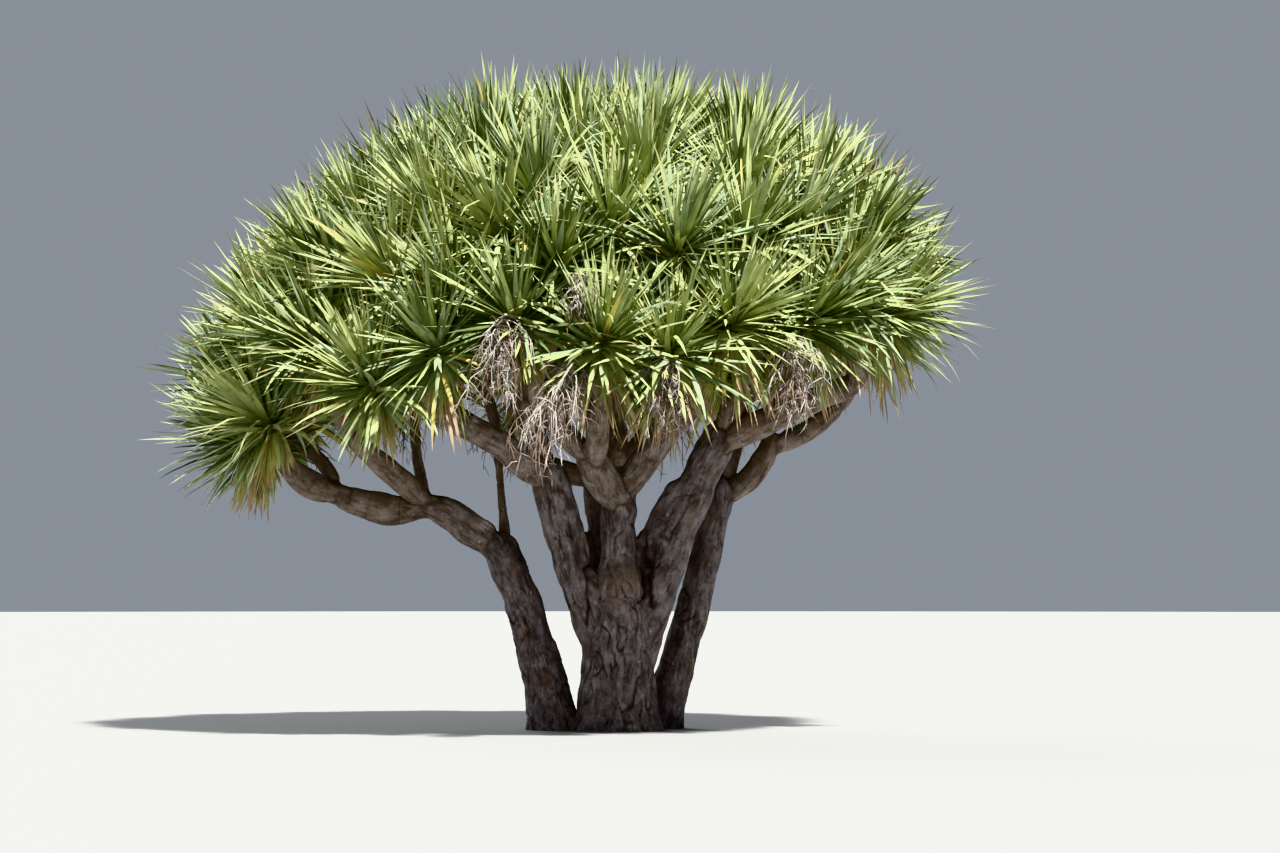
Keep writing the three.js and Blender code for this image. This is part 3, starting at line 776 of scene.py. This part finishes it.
def bark_material():
    """Dark grey-brown cracked bark on the old stems, and tan, smoother bark on the younger boughs, with
    painted shade in its hollows, cracks and creases.
    """
    material, tree, shader = node_material("bark", 0.88, 0.3)
    along = attribute_node(tree, "limb_place", "Vector")
    place = add_node(tree, "ShaderNodeTexCoord", {})["Object"]
    patch = noise_node(tree, place, 11, 8, 0.72)
    old = ramp_node(tree, patch, OLD_BARK)
    young = ramp_node(tree, patch, YOUNG_BARK)
    colour = mix_node(tree, attribute_node(tree, "limb_age"), young, old)
    grain = ramp_node(tree, noise_node(tree, along, 34, 8, 0.72), GRAIN)
    colour = mix_node(tree, 0.8, colour, grain, "MULTIPLY")
    inputs = {0: attribute_node(tree, "limb_rust"), 1: RUST_WEIGHT, 2: noise_node(tree, place, 9, 5)}
    warm = add_node(tree, "ShaderNodeMath", inputs, operation="MULTIPLY_ADD")[0]
    colour = mix_node(tree, ramp_node(tree, warm, RUST_WHERE), colour, RUST)
    fleck = ramp_node(tree, noise_node(tree, place, 24, 4, 0.6), FLECK_WHERE)
    colour = mix_node(tree, fleck, colour, FLECK)
    # Painted shade: the bark is darkened where its skin is hollow
    pointed = add_node(tree, "ShaderNodeNewGeometry", {})["Pointiness"]
    hollow = ramp_node(tree, pointed, SHADE_IN_HOLLOWS)
    colour = mix_node(tree, 0.8, colour, hollow, "MULTIPLY")
    # Painted shade: cracks, rings, creases, hollows, scoops and seams darkened by the limbs' measures
    crack_shade = ramp_node(tree, attribute_node(tree, "limb_painted_shade"), SHADE_IN_CRACKS)
    colour = mix_node(tree, 0.75, colour, crack_shade, "MULTIPLY")
    tree.links.new(colour, shader.inputs["Base Color"])
    bump_node(tree, shader, noise_node(tree, along, 60, 8, 0.78), 0.8, 0.008)
    return material


# Bark

def limb_rings(name, step):
    """The places and radii of a limb's rings, and how far along it each one is."""
    limb = LIMBS[name]
    curve = limb["curve"]
    shares = np.linspace(0, 1, max(8, int(curve.length / step)))
    path, radii, run = curve.at(shares), limb_radius(limb, shares), shares * curve.length
    if name == "trunk":
        # the trunk's top closes in a rounded shoulder between its boughs
        more = np.linspace(0, 1, int(SHOULDER_HIGH / step) + 1)[1:]
        path = np.concatenate((path, path[-1] + UP * SHOULDER_HIGH * more[:, None]))
        radii = np.concatenate((radii, radii[-1] * (1 - SHOULDER_CLOSES * more ** SHOULDER_POWER)))
        return path, radii, np.concatenate((run, run[-1] + SHOULDER_HIGH * more))
    # a limb is narrower where it leaves its parent, fuller after that, and fuller again at its tip
    by, at, over = TIP_SWELL
    radii = radii * (1 + by * hump(curve.length - run - at, over))
    if limb.get("parent", "trunk") != "trunk":
        past = run - LIMBS[limb["parent"]]["thick"][1]
        neck, swell = (by * hump(past - at, over) for by, at, over in (ROOT_NECK, ROOT_SWELL))
        radii = radii * (1 - neck + swell)
    return path, radii, run


def limb_pile(names):
    pile = Pile()
    for name in names:
        path, radii, _ = limb_rings(name, RING_STEP)
        pile.tube(path, radii, 28)
        if name != "trunk":
            pile.ball(path[-1], radii[-1])
    if "centre_bough" in names:
        for first, last, radius in FORK_FILLS:
            path = lerp(*np.array((first, last)), np.linspace(0, 1, 8)[:, None])
            pile.tube(path, np.full(8, radius), 24)
            pile.ball(path[0], radius)
            pile.ball(path[-1], radius)
    return pile


def measure_from_limb(points, name):
    """For the points near a limb: their numbers, how far off its skin they are, and their place."""
    path, radii, run = limb_rings(name, MEASURE_STEP)
    margin = radii.max() + MEASURE_MARGIN
    inside = (points > path.min(axis=0) - margin) & (points < path.max(axis=0) + margin)
    near = np.flatnonzero(np.all(inside, axis=1))
    tree = KDTree(len(path))
    for i, place in enumerate(path):
        tree.insert(place, i)
    tree.balance()
    found = np.array([tree.find(p)[1] for p in points[near]], int)
    ways = unit(np.gradient(path, axis=0))[found]
    offset = points[near] - path[found]
    along = np.sum(offset * ways, axis=1)
    side = unit(np.cross(ways, SKEW))
    other = np.cross(ways, side)
    around = unit(np.stack((np.sum(offset * side, axis=1), np.sum(offset * other, axis=1)), -1))
    across = offset - ways * np.clip(along, -MEASURE_STEP, MEASURE_STEP)[:, None]
    off = np.linalg.norm(across, axis=1) - radii[found]
    place = np.column_stack((around * radii[found][:, None], run[found] + along))
    return near, off, place


def nearest_limbs(points, names):
    """Each point's own limb, its place there, how much further off the next limb is, and the crease
    between the two. The trunk makes no crease here, as it has its own."""
    off, second, beside = (np.full(len(points), 1e9) for _ in range(3))
    local = np.zeros((len(points), 3))
    owner = np.zeros(len(points), int)
    from_trunk = np.array([name == "trunk" for name in names])
    far, over, seed = BORDER_WANDER
    for number, name in enumerate(names):
        near, this, place = measure_from_limb(points, name)
        this = this + far * noise3(points[near] / over, seed + number)
        nearer = this < off[near]
        beside[near] = np.where(nearer, off[near], np.minimum(beside[near], this))
        passed = np.where(from_trunk[owner[near]], second[near], off[near])
        second[near] = np.where(nearer, passed, np.minimum(second[near], this))
        chosen = near[nearer]
        off[chosen] = this[nearer]
        local[chosen] = place[nearer] + (0, 0, number * LIMB_APART)
        owner[chosen] = number
    crease = np.where(from_trunk[owner], 0, hump(second - off, LIMB_CREASE_WIDTH))
    return owner, local, beside - off, crease


def bark_noise(local, name):
    size, seed, strength = BARK_NOISES[name]
    return strength * noise3(local / size, seed)


def old_bark(local):
    """Plates between cracks that run along the limb: their height, the cracks and the scoops."""
    bent = local + warped(local, CRACK_WARP)
    broken = clamped(0.6 + bark_noise(local, "broken"))
    wide, fine = (clamped(1 - np.abs(bark_noise(bent, name)) / width) * broken
                  for name, width in CRACK_WIDTHS.items())
    scoop = clamped(bark_noise(local, "scoop") - SCOOP_FROM) / SCOOP_OVER
    height = PLATE_HIGH - DEEP.wide * wide - DEEP.fine * fine - DEEP.scoop * scoop
    height += bark_noise(local, "fibre")
    height += np.abs(bark_noise(local, "nub"))
    return height, wide, fine, scoop


def young_bark(local):
    """Rings left by fallen leaves, a deeper one here and there: their height, and the rings."""
    wave = local[:, 2] + bark_noise(local, "ring_wander")
    ring = (1 - np.abs(np.sin(wave * math.pi / RING_APART))) ** 3
    deep = 1 - np.abs(np.sin(wave * math.pi / DEEP_RING_APART)) - DEEP_RING_FROM
    deep = clamped(deep) * 8
    return -DEEP.ring * ring - DEEP.deep_ring * deep + bark_noise(local, "pimple"), ring


def swollen_knot(points):
    """How far the knot stands out, and where its warm bark shows."""
    away = np.linalg.norm((points + warped(points, KNOT_WARP) - KNOT) / KNOT_SIZE, axis=1)
    swell = eased(clamped(KNOT_STEEP * (1 - away)))
    return KNOT_HIGH * swell, clamped(RUST_OUT - away) - RUST_LESS


def trunk_creases(points):
    """How much painted shade the creases of the trunk and its fork get at each point, and how deep they
    are.
    """
    flat = (points + warped(points, CREASE_WARP))[:, ::2]
    dark = np.zeros(len(points))
    depth = np.zeros(len(points))
    front = clamped(-points[:, 1] / FRONT_FADE)
    for first, last, width, deep in FRONT_CREASES:
        away = distance_to_line(flat, np.array(first, float), np.array(last, float))
        line = hump(away, width) * front
        dark = np.maximum(dark, line * deep / DEEPEST_CREASE)
        depth = np.maximum(depth, deep * line)
    x, y, z = points.T
    far, over, seed = CREASE_TURN
    angle = np.arctan2(y, x) + far * noise3(points / over, seed)
    fade = clamped((z - CREASE_FROM[0]) / CREASE_FROM[1])
    fade = fade * clamped((CREASE_TO[0] - z) / CREASE_TO[1]) * (np.hypot(x, y) < CREASE_INSIDE)
    for at in CREASE_ANGLES:
        line = hump((angle - at + math.pi) % (2 * math.pi) - math.pi, CREASE_WIDTH) * fade
        dark = np.maximum(dark, line)
        depth = np.maximum(depth, CREASE_DEPTH * line)
    return dark, depth


def relief(points, names):
    """Height of the bark at each point, its place on its limb, how old and rusty it is, and its painted
    shade in cracks, rings, creases, hollows, scoops and seams.
    """
    owner, local, apart, crease = nearest_limbs(points, names)
    rough = np.array([ROUGH_LIMBS.get(n, 0.0) for n in names])[owner]
    old, wide, fine, scoop = old_bark(local)
    young, ring = young_bark(local)
    height = bark_noise(local, "lump") + bark_noise(local, "small_lump")
    height = height * lerp(0.5, 1, rough) + old * rough + young * (1 - rough)
    # both sides of a border come to the same height
    height = lerp(BORDER_HIGH * rough, height, clamped(apart / BORDER_BLEND))
    hollows = [blob(points, at, size) for at, size, _ in HOLLOWS]
    carved = sum(deep * hollow for hollow, (_, _, deep) in zip(hollows, HOLLOWS))
    knot_out, rust = swollen_knot(points)
    seam_shade, seam_depth = trunk_creases(points)
    height = height - seam_depth - DEEP.crease * crease - carved + knot_out
    # Painted shade: the cracks, leaf-scar rings, creases, hollows, scoops and seams are darkened
    shade_in_cracks = np.maximum(PAINTED_SHADE_STRENGTH.wide * wide, PAINTED_SHADE_STRENGTH.fine * fine) * rough + PAINTED_SHADE_STRENGTH.ring * ring * (1 - rough)
    shade_in_cracks += PAINTED_SHADE_STRENGTH.crease * crease
    dark = PAINTED_SHADE_STRENGTH.hollow * sum(hollows) + PAINTED_SHADE_STRENGTH.scoop * scoop * rough + PAINTED_SHADE_STRENGTH.seam * seam_shade
    return height, local, rough, clamped(shade_in_cracks + dark), rust


def smoothed(points, edges, rounds):
    a, b = edges.T
    most = len(points)
    count = np.bincount(a, minlength=most) + np.bincount(b, minlength=most)
    for _ in range(rounds):
        total = [np.bincount(a, points[b, k], most) + np.bincount(b, points[a, k], most) for k in range(3)]
        points = lerp(points, np.stack(total, -1) / np.maximum(count, 1)[:, None], 0.6)
    return points


def applied(piece):
    """The piece's mesh with its modifiers applied. The piece itself goes."""
    depsgraph = bpy.context.evaluated_depsgraph_get()
    mesh = bpy.data.meshes.new_from_object(piece.evaluated_get(depsgraph))
    bpy.data.objects.remove(piece)
    return mesh


def thinned(mesh, most):
    """The same mesh with fewer triangles, taken out first where it is flat."""
    piece = linked("thinned", mesh)
    thin = piece.modifiers.new("thin", "DECIMATE")
    thin.ratio = min(1, most / sum(len(p.vertices) - 2 for p in mesh.polygons))
    return applied(piece)


def read_rows(items, key, width, kind):
    values = np.empty(len(items) * width, kind)
    items.foreach_get(key, values)
    return values.reshape(-1, width)


def set_points(mesh, points):
    fill(mesh.vertices, "co", points * MM)
    mesh.update()


def skin_of_limbs(name, names):
    """One smooth skin round all these limbs, and its points."""
    shape = limb_pile(names).mesh(name + "_shape", ())
    remesh = shape.modifiers.new("remesh", "REMESH")
    remesh.mode = "VOXEL"
    remesh.voxel_size = VOXEL * MM
    mesh = applied(shape)
    edges = read_rows(mesh.edges, "vertices", 2, np.int32)
    points = read_rows(mesh.vertices, "co", 3, np.float32).astype(float) / MM
    points = smoothed(points, edges, SMOOTHING)
    for fork, size, rounds in SOFT_FORKS if "trunk" in names else ():
        near = blob(points, fork, size)[:, None]
        points = lerp(points, smoothed(points, edges, rounds), near)
    set_points(mesh, points)
    return mesh, points


def bark_piece(name, names, material):
    mesh, points = skin_of_limbs(name, names)
    normals = read_rows(mesh.vertices, "normal", 3, np.float32)
    height, local, rough, shade_in_cracks, rust = relief(points, names)
    set_points(mesh, points + normals * height[:, None])
    place = mesh.attributes.new("limb_place", "FLOAT_VECTOR", "POINT")
    fill(place.data, "vector", local * MM * (1, 1, 0.3))
    # The bark's age, its painted shade in cracks and hollows, and its rust
    for label, values in (("limb_age", rough), ("limb_painted_shade", shade_in_cracks), ("limb_rust", rust)):
        fill(mesh.attributes.new(label, "FLOAT", "POINT").data, "value", values)
    mesh = thinned(mesh, MOST_TRIANGLES[name])
    mesh.name = name
    cut_at_ground(mesh)
    fill(mesh.polygons, "use_smooth", np.full(len(mesh.polygons), True), bool)
    mesh.materials.clear()
    mesh.materials.append(material)
    return linked(name, mesh)


def cut_at_ground(mesh):
    """Takes away what is below the ground, and closes the cut."""
    form = bmesh.new()
    form.from_mesh(mesh)
    everything = form.verts[:] + form.edges[:] + form.faces[:]
    cut = bmesh.ops.bisect_plane(
        form, geom=everything, plane_co=(0, 0, 0), plane_no=(0, 0, 1), clear_inner=True)
    edges = [e for e in cut["geom_cut"] if isinstance(e, bmesh.types.BMEdge)]
    if edges:
        bmesh.ops.triangle_fill(form, edges=edges, use_beauty=True, normal=(0, 0, -1))
    form.to_mesh(mesh)
    form.free()


# Leaves

def add_leaves(pile, root, way, across, length, width, bend, twist, base, blade, tip):
    """Many leaves at once. Each argument has a row or a value for each leaf."""
    count = len(root)
    sections = len(LEAF_AT)
    place = root.copy()
    points = np.empty((count, sections * 3 - 2, 3))
    for j, t in enumerate(LEAF_AT):
        if j:
            middle = (LEAF_AT[j - 1] + t) / 2
            bent = unit(way + bend * middle ** LEAF.bend_power)
            place = place + bent * (length * (t - LEAF_AT[j - 1]))[:, None]
        if j == sections - 1:
            points[:, -1] = place
            break
        heading = unit(way + bend * t ** LEAF.bend_power)
        side = unit(across - heading * np.sum(across * heading, axis=1, keepdims=True))
        side = turned(side, heading, twist * t)
        half = (width * LEAF_WIDE[j] / 2)[:, None]
        rise = np.cross(side, heading) * half * LEAF_CHANNEL[j]
        points[:, 3 * j] = place - side * half + rise
        points[:, 3 * j + 1] = place - rise
        points[:, 3 * j + 2] = place + side * half + rise
    quad, quad_part = [], []
    for j in range(sections - 2):
        a, b = 3 * j, 3 * j + 3
        quad += [(a, a + 1, b + 1, b), (a + 1, a + 2, b + 2, b + 1)]
        quad_part += [0 if j == 0 else 1] * 2
    last = 3 * (sections - 2)
    triangle = np.array(((last, last + 1, last + 3), (last + 1, last + 2, last + 3)))
    offset = (np.arange(count) * points.shape[1])[:, None, None]
    quads = (np.array(quad)[None] + offset).reshape(-1, 4)
    triangles = (triangle[None] + offset).reshape(-1, 3)
    tints = np.stack((base, blade), -1)[:, quad_part]
    pile.add(points.reshape(-1, 3), quads, triangles, tints.ravel(), np.repeat(tip, 2))


def limb_lines():
    """Short straight lines along every limb, as starts, ends and radii."""
    starts, ends, radii = [], [], []
    shares = np.linspace(0, 1, 9)
    for limb in LIMBS.values():
        path = limb["curve"].at(shares)
        radius = limb_radius(limb, shares)
        starts.extend(path[:-1])
        ends.extend(path[1:])
        radii.extend((radius[1:] + radius[:-1]) / 2)
    return list(zip(starts, ends, radii))


def touches_bark(points, lines):
    """Whether any of each leaf's points lies within a limb. points has a row of places per leaf."""
    hit = np.zeros(len(points), bool)
    for start, end, radius in lines:
        away = distance_to_line(points.reshape(-1, 3), start, end).reshape(points.shape[:2])
        hit |= np.any(away < radius + LEAF.clear_of_bark, axis=1)
    return hit


def room_in_box(root, way):
    """How long each leaf may be before it leaves the tree's box."""
    wall = np.where(way > 0, BOX_HIGH, BOX_LOW) - root
    steep = np.where(np.abs(way) < 0.001, 0.001, np.abs(way))
    return np.min(np.abs(wall) / steep, axis=1)


def outward_of(heart):
    return unit((heart - DOME_CENTRE) * (1, 1, 0))


def places_along(root, way, length, at):
    return root[:, None] + (way * length[:, None])[:, None] * at[:, None]


def leaf_ways(rosette, axis, out, age):
    """Young leaves stand along the axis, and the oldest turn away from it, most at the rim."""
    open_to = lerp(*LEAF.open_to, rimness(rosette["down"]))
    open_to += rng.uniform(-LEAF.open_to_spread, LEAF.open_to_spread)
    opening = lerp(math.radians(LEAF.open_from), math.radians(open_to), age ** LEAF.open_power)
    opening = opening + rng.normal(0, LEAF.open_spread, len(age))
    opening = np.clip(opening, LEAF.open_least, math.radians(LEAF.open_most))[:, None]
    return axis * np.cos(opening) + out * np.sin(opening)


def leaf_lengths(rosette, root, way, age):
    """A leaf is shorter where it is young, hangs down, or points into the crown."""
    grown = clamped(LEAF.length_young + LEAF.length_growth * age)
    length = LEAF.length * rosette["size"] * grown * rng.uniform(*LEAF.length_spread, len(age))
    length *= 1 - LEAF.shorter_down * clamped(-way[:, 2])
    inward = clamped(-way @ outward_of(rosette["heart"]))
    length *= 1 - LEAF.shorter_inward * inward * clamped(LEAF.inward_below - way[:, 2])
    return np.minimum(length, room_in_box(root, way))


def leaf_sags(way, age):
    """How far each leaf bends down. Some old ones are broken over."""
    sag = np.hypot(way[:, 0], way[:, 1]) * (LEAF.sag + LEAF.sag_growth * age ** LEAF.sag_power)
    sag *= rng.uniform(*LEAF.sag_spread, len(age))
    broken = rng.rand(len(age)) < LEAF.broken_share * age
    return sag + broken * rng.uniform(*LEAF.broken_sag, len(age))


def leaf_tints(rosette, age):
    """The material numbers of each leaf's root, blade and tip. Some blades take the bright green, painted
    sunlight, and some the deep green, painted shade; old leaves' roots take the deep green as painted
    shade too.
    """
    count = len(age)
    chance = np.array(BLADE_CHANCES)
    chance[rosette["tint"]] += FAVOURED
    blade = BLADE_TINTS[rng.choice(4, count, p=chance / chance.sum())]
    older = YELLOW_CHANCE[1] * clamped(age - YELLOW_FROM) / YELLOW_OVER
    blade = np.where(rng.rand(count) < YELLOW_CHANCE[0] + older, TINT["leaf_yellow"], blade)
    tip = np.where(rng.rand(count) < BROWN_TIP_CHANCE, TINT["leaf_tip"], blade)
    # Old leaves' roots get the deep green, painted shade under the rosette's heart
    return np.where(age < OLD_ROOTS_SHADED_FROM, TINT["leaf_base"], TINT["leaf_deep"]), blade, tip


def rosette_leaves(pile, rosette, lines):
    """Sword leaves, each turned on from the last by the golden angle. One that would touch bark goes."""
    axis = unit(rosette["axis"] + rng.normal(0, LEAF.axis_spread, 3))
    count = int(LEAF.count * rng.uniform(*LEAF.count_spread))
    k = np.arange(count)
    age = k / (count - 1)
    turn = k * GOLDEN_ANGLE + rng.uniform(0, 6.3) + rng.normal(0, LEAF.turn_spread, count)
    out = ways_round(axis, turn)
    way = leaf_ways(rosette, axis, out, age)
    across = np.cross(axis, out)
    root = rosette["heart"] + axis * lerp(*LEAF.root_rise, age)[:, None] + out * LEAF.root_ring
    length = leaf_lengths(rosette, root, way, age)
    grown = clamped(LEAF.width_young + LEAF.width_growth * age)
    width = LEAF.width * grown * rng.uniform(*LEAF.width_spread, count)
    sag = leaf_sags(way, age)
    bend = across * rng.normal(0, LEAF.side_bend, count)[:, None] - UP * sag[:, None]
    twist = rng.normal(0, LEAF.twist, count)
    facts = (root, way, across, length, width, bend, twist, *leaf_tints(rosette, age))
    probes = places_along(root, way, length, PROBES)
    probes[..., 2] -= (sag * length)[:, None] * PROBE_SAGS
    keep = ~touches_bark(probes, lines) & (probes[:, -1, 2] > LEAF.clear_of_ground)
    add_leaves(pile, *(fact[keep] for fact in facts))


def hanging_leaves(pile, rosette, lines):
    """Withered leaves that hang against the twig below a rosette."""
    count = int(rosette["withered"])
    if not count:
        return
    heart, axis = rosette["heart"], rosette["axis"]
    out = ways_round(axis, rng.uniform(0, 2 * math.pi, count))
    down = unit(out * rng.uniform(*DRY.out, count)[:, None] - UP + axis * 0.1)
    root = heart - axis * rng.uniform(*DRY.root, count)[:, None] + out * TWIG_TIP_RADIUS * 0.8
    across = np.cross(down, unit(out - down * np.sum(out * down, axis=1, keepdims=True)))
    length = LEAF.length * rng.uniform(*DRY.length, count)
    outer = out @ outward_of(heart) > -0.2
    length *= np.where(outer, 1, DRY.inside) * (1 if heart[0] > DRY.left_of else DRY.left)
    width = LEAF.width * rng.uniform(*DRY.width, count)
    bend = across * rng.normal(0, DRY.bend, count)[:, None]
    bend = bend - UP * rng.uniform(*DRY.sag, count)[:, None]
    twist = rng.normal(0, DRY.twist, count)
    tint = DRY_TINTS[rng.choice(3, count, p=DRY_CHANCES)]
    facts = (root, down, across, length, width, bend, twist, tint, tint,
             np.full(count, TINT["leaf_dry"]))
    keep = ~touches_bark(places_along(root, down, length, DRY_PROBES), lines)
    add_leaves(pile, *(fact[keep] for fact in facts))


# Twigs and flower sprays

def twig_tubes(pile, masses):
    for mass in masses:
        thick = LIMBS[mass["bough"]]["thick"][1]
        for rosette in mass["rosettes"]:
            start = TWIG_RADIUS if rosette["leader"] else TWIG_RADIUS * FINE_TWIG
            ringed_tube(pile, rosette["twig"], min(start, thick))


def ringed_tube(pile, curve, first):
    """A twig with scars of fallen leaves round it."""
    shares = np.linspace(0, 1, max(6, int(curve.length / TWIG_STEP)))
    run = shares * curve.length
    lump, over = TWIG_LUMPS
    scars = 1 + TWIG_SCARS * np.sin(run * math.pi / TWIG_STEP) + lump * np.sin(run / over + first)
    pile.tube(curve.at(shares), lerp(first, TWIG_TIP_RADIUS, shares) * scars, 10)


def spray_places(masses):
    """Each dry spray's start, size, lean and reach: those in front, and some more at the back."""
    places = []
    for x, z, size, lean, reach in FRONT_SPRAYS:
        out = x - DOME_CENTRE[0]
        up = z - DOME_CENTRE[2] - DOME_SLOPE * out
        depth = math.sqrt(1 - (out / DOME_HALF[0]) ** 2 - (up / DOME_HALF[2]) ** 2)
        places.append((np.array((x, DOME_CENTRE[1] - DOME_HALF[1] * depth, z)), size, lean, reach))
    for mass in masses:
        for rosette in mass["rosettes"]:
            outer = rosette["down"] > BACK_SPRAY.below and rosette["heart"][1] > BACK_SPRAY.behind
            if outer and rng.rand() < BACK_SPRAY.chance:
                size = BACK_SPRAY.length * rng.uniform(0.8, 1.1)
                lean = rng.uniform(-0.3, 0.3)
                places.append((rosette["heart"] + rosette["axis"] * 20, size, lean, BACK_SPRAY.reach))
    return places


def flower_spray(pile, start, size, lean, reach):
    """A dry, branched flower stalk that has bent over and hangs down outside the leaves."""
    out = outward_of(start)
    lean = np.array((-out[1], out[0], 0.0)) * size * lean
    bend = start + out * size * reach + UP * size * 0.08
    end = start + out * size * reach * 0.8 - UP * size * 0.62 + lean
    stalk = Curve(start, bend, end)
    shares = np.linspace(0, 1, 10)
    pile.tube(stalk.at(shares), lerp(*STALK, shares), 5)
    for k in range(SPRAY_BRANCHES):
        first = stalk.at(lerp(0.2, 1.0, k / (SPRAY_BRANCHES - 1)))
        turn = k * GOLDEN_ANGLE
        side = np.array((math.cos(turn), math.sin(turn), 0.0)) * (size * rng.uniform(0.06, 0.40))
        last = first + side - UP * size * rng.uniform(0.2, 0.6) + lean * rng.uniform(0, 0.6)
        branch = Curve(first, first + side * 1.1 - UP * size * 0.05, last)
        brown = int(rng.rand() < 0.5)
        wiggly_twig(pile, branch, BRANCH, 7, brown)
        for _ in range(int(rng.uniform(4, 8))):
            place = branch.at(rng.uniform(0.1, 0.95))
            stretch = size * rng.uniform(0.10, 0.32)
            side_twig = bent_twig(place, rng.normal(0, 0.7, 3) - UP * 1.2, stretch)
            wiggly_twig(pile, side_twig, SIDE_TWIG, 4, brown)
            for _ in range(rng.randint(0, 3)):
                fork = side_twig.at(rng.uniform(0.4, 0.9))
                end_twig = bent_twig(fork, rng.normal(0, 0.8, 3) - UP * 0.8, stretch * 0.45)
                wiggly_twig(pile, end_twig, END_TWIG, 3, brown)


def bent_twig(start, aim, stretch):
    """A short twig that sets off along aim and droops a little."""
    aim = unit(aim)
    end = start + aim * stretch - UP * stretch * 0.25
    return Curve(start, start + aim * stretch * 0.6 + rng.normal(0, 0.12, 3) * stretch, end, 24)


def wiggly_twig(pile, curve, thick, rings, tint):
    shares = np.linspace(0, 1, rings)
    wander = rng.normal(0, TWIG_WANDER, (rings, 3)) * np.sin(shares * math.pi)[:, None]
    pile.tube(curve.at(shares) + wander, lerp(*thick, shares), 3, tint)


# The pieces and the scene

def make_bark():
    bark = bark_material()
    left = [n for n in LIMBS if n.startswith("left_") and not n.startswith("left_bough")]
    right = [n for n in LIMBS if n.startswith("right_stem")]
    middle = [n for n in LIMBS if n not in left + right]
    for name, names in zip(MOST_TRIANGLES, (middle, left, right)):
        piece = bark_piece(name, names, bark)
        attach(piece, "root")
        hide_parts(*[n for n in names if not n.endswith(STEM)])


def make_foliage(masses):
    lines = limb_lines()
    leaf_materials = [leaf_material(name, colour) for name, colour in TINTS.items()]
    twig_bark = leaf_material("twig_bark", TWIG_BARK, 0.9)
    spray_materials = [leaf_material("flower_stalk_pale", STALK_PALE, 0.85),
                       leaf_material("flower_stalk_brown", STALK_BROWN, 0.85)]
    dry_pile, spray_pile, twig_pile = Pile(), Pile(), Pile()
    by_name = {mass["name"]: mass for mass in masses}
    for name, members in LEAF_PIECES.items():
        pile = Pile()
        for member in members:
            for rosette in by_name[member]["rosettes"]:
                larger = lerp(LEAF.top_size, 1, rimness(rosette["down"]))
                rosette["size"] = rng.uniform(*LEAF.rosette_size) * larger
                rosette["tint"] = rng.randint(4)
                withered = DRY.many if rosette["down"] > DRY.below else DRY.few
                rosette["withered"] = rng.uniform(*withered)
                rosette_leaves(pile, rosette, lines)
                hanging_leaves(dry_pile, rosette, lines)
        piece = pile.mesh(name, leaf_materials)
        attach(piece, "root")
        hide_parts(*members)
    for place in spray_places(masses):
        flower_spray(spray_pile, *place)
    twig_tubes(twig_pile, masses)
    for name, pile, materials, slot in (
        ("leaves_withered", dry_pile, leaf_materials, "foliage"),
        ("flower_sprays", spray_pile, spray_materials, "foliage"),
        ("twigs", twig_pile, [twig_bark], "bark"),
    ):
        piece = pile.mesh(name, materials)
        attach(piece, "root")


def make_floor():
    bpy.ops.mesh.primitive_circle_add(vertices=96, radius=FLOOR_RADIUS, fill_type="NGON")
    floor = bpy.context.object
    floor.name = "floor"
    material, _, shader = node_material("floor_pale", 0.9)
    shader.inputs["Base Color"].default_value = (*FLOOR_COLOUR, 1)
    floor.data.materials.append(material)


def make_lights():
    for name, place, strength, colour, softness in LIGHTS:
        lamp = bpy.data.lights.new(name, "SUN")
        lamp.energy = strength
        lamp.color = colour
        lamp.angle = math.radians(softness)
        light = linked(name, lamp)
        light.location = place
        light.rotation_mode = "QUATERNION"
        light.rotation_quaternion = (Vector(LIGHTS_AIM) - Vector(place)).to_track_quat("-Z", "Y")
    world = bpy.data.worlds.new("studio")
    world.use_nodes = True
    sky = world.node_tree.nodes["Background"]
    sky.inputs["Color"].default_value = SKY_COLOUR
    sky.inputs["Strength"].default_value = SKY_STRENGTH
    bpy.context.scene.world = world


def make_camera():
    camera = bpy.data.cameras.new("camera")
    camera.lens = CAMERA_LENS
    camera.sensor_width = 36
    camera.clip_end = 200
    holder = linked("camera", camera)
    holder.location = CAMERA_PLACE
    holder.rotation_euler = (math.radians(90 + CAMERA_TILT), 0, 0)
    bpy.context.scene.camera = holder


bpy.context.scene.view_settings.view_transform = "Khronos PBR Neutral"
bpy.context.scene.view_settings.exposure = EXPOSURE
make_camera()
make_floor()
make_lights()
grow_limbs()
masses = make_masses()
spread_rosettes(masses)
grow_twigs(masses)
add_mass_stems(masses)
make_bark()
make_foliage(masses)
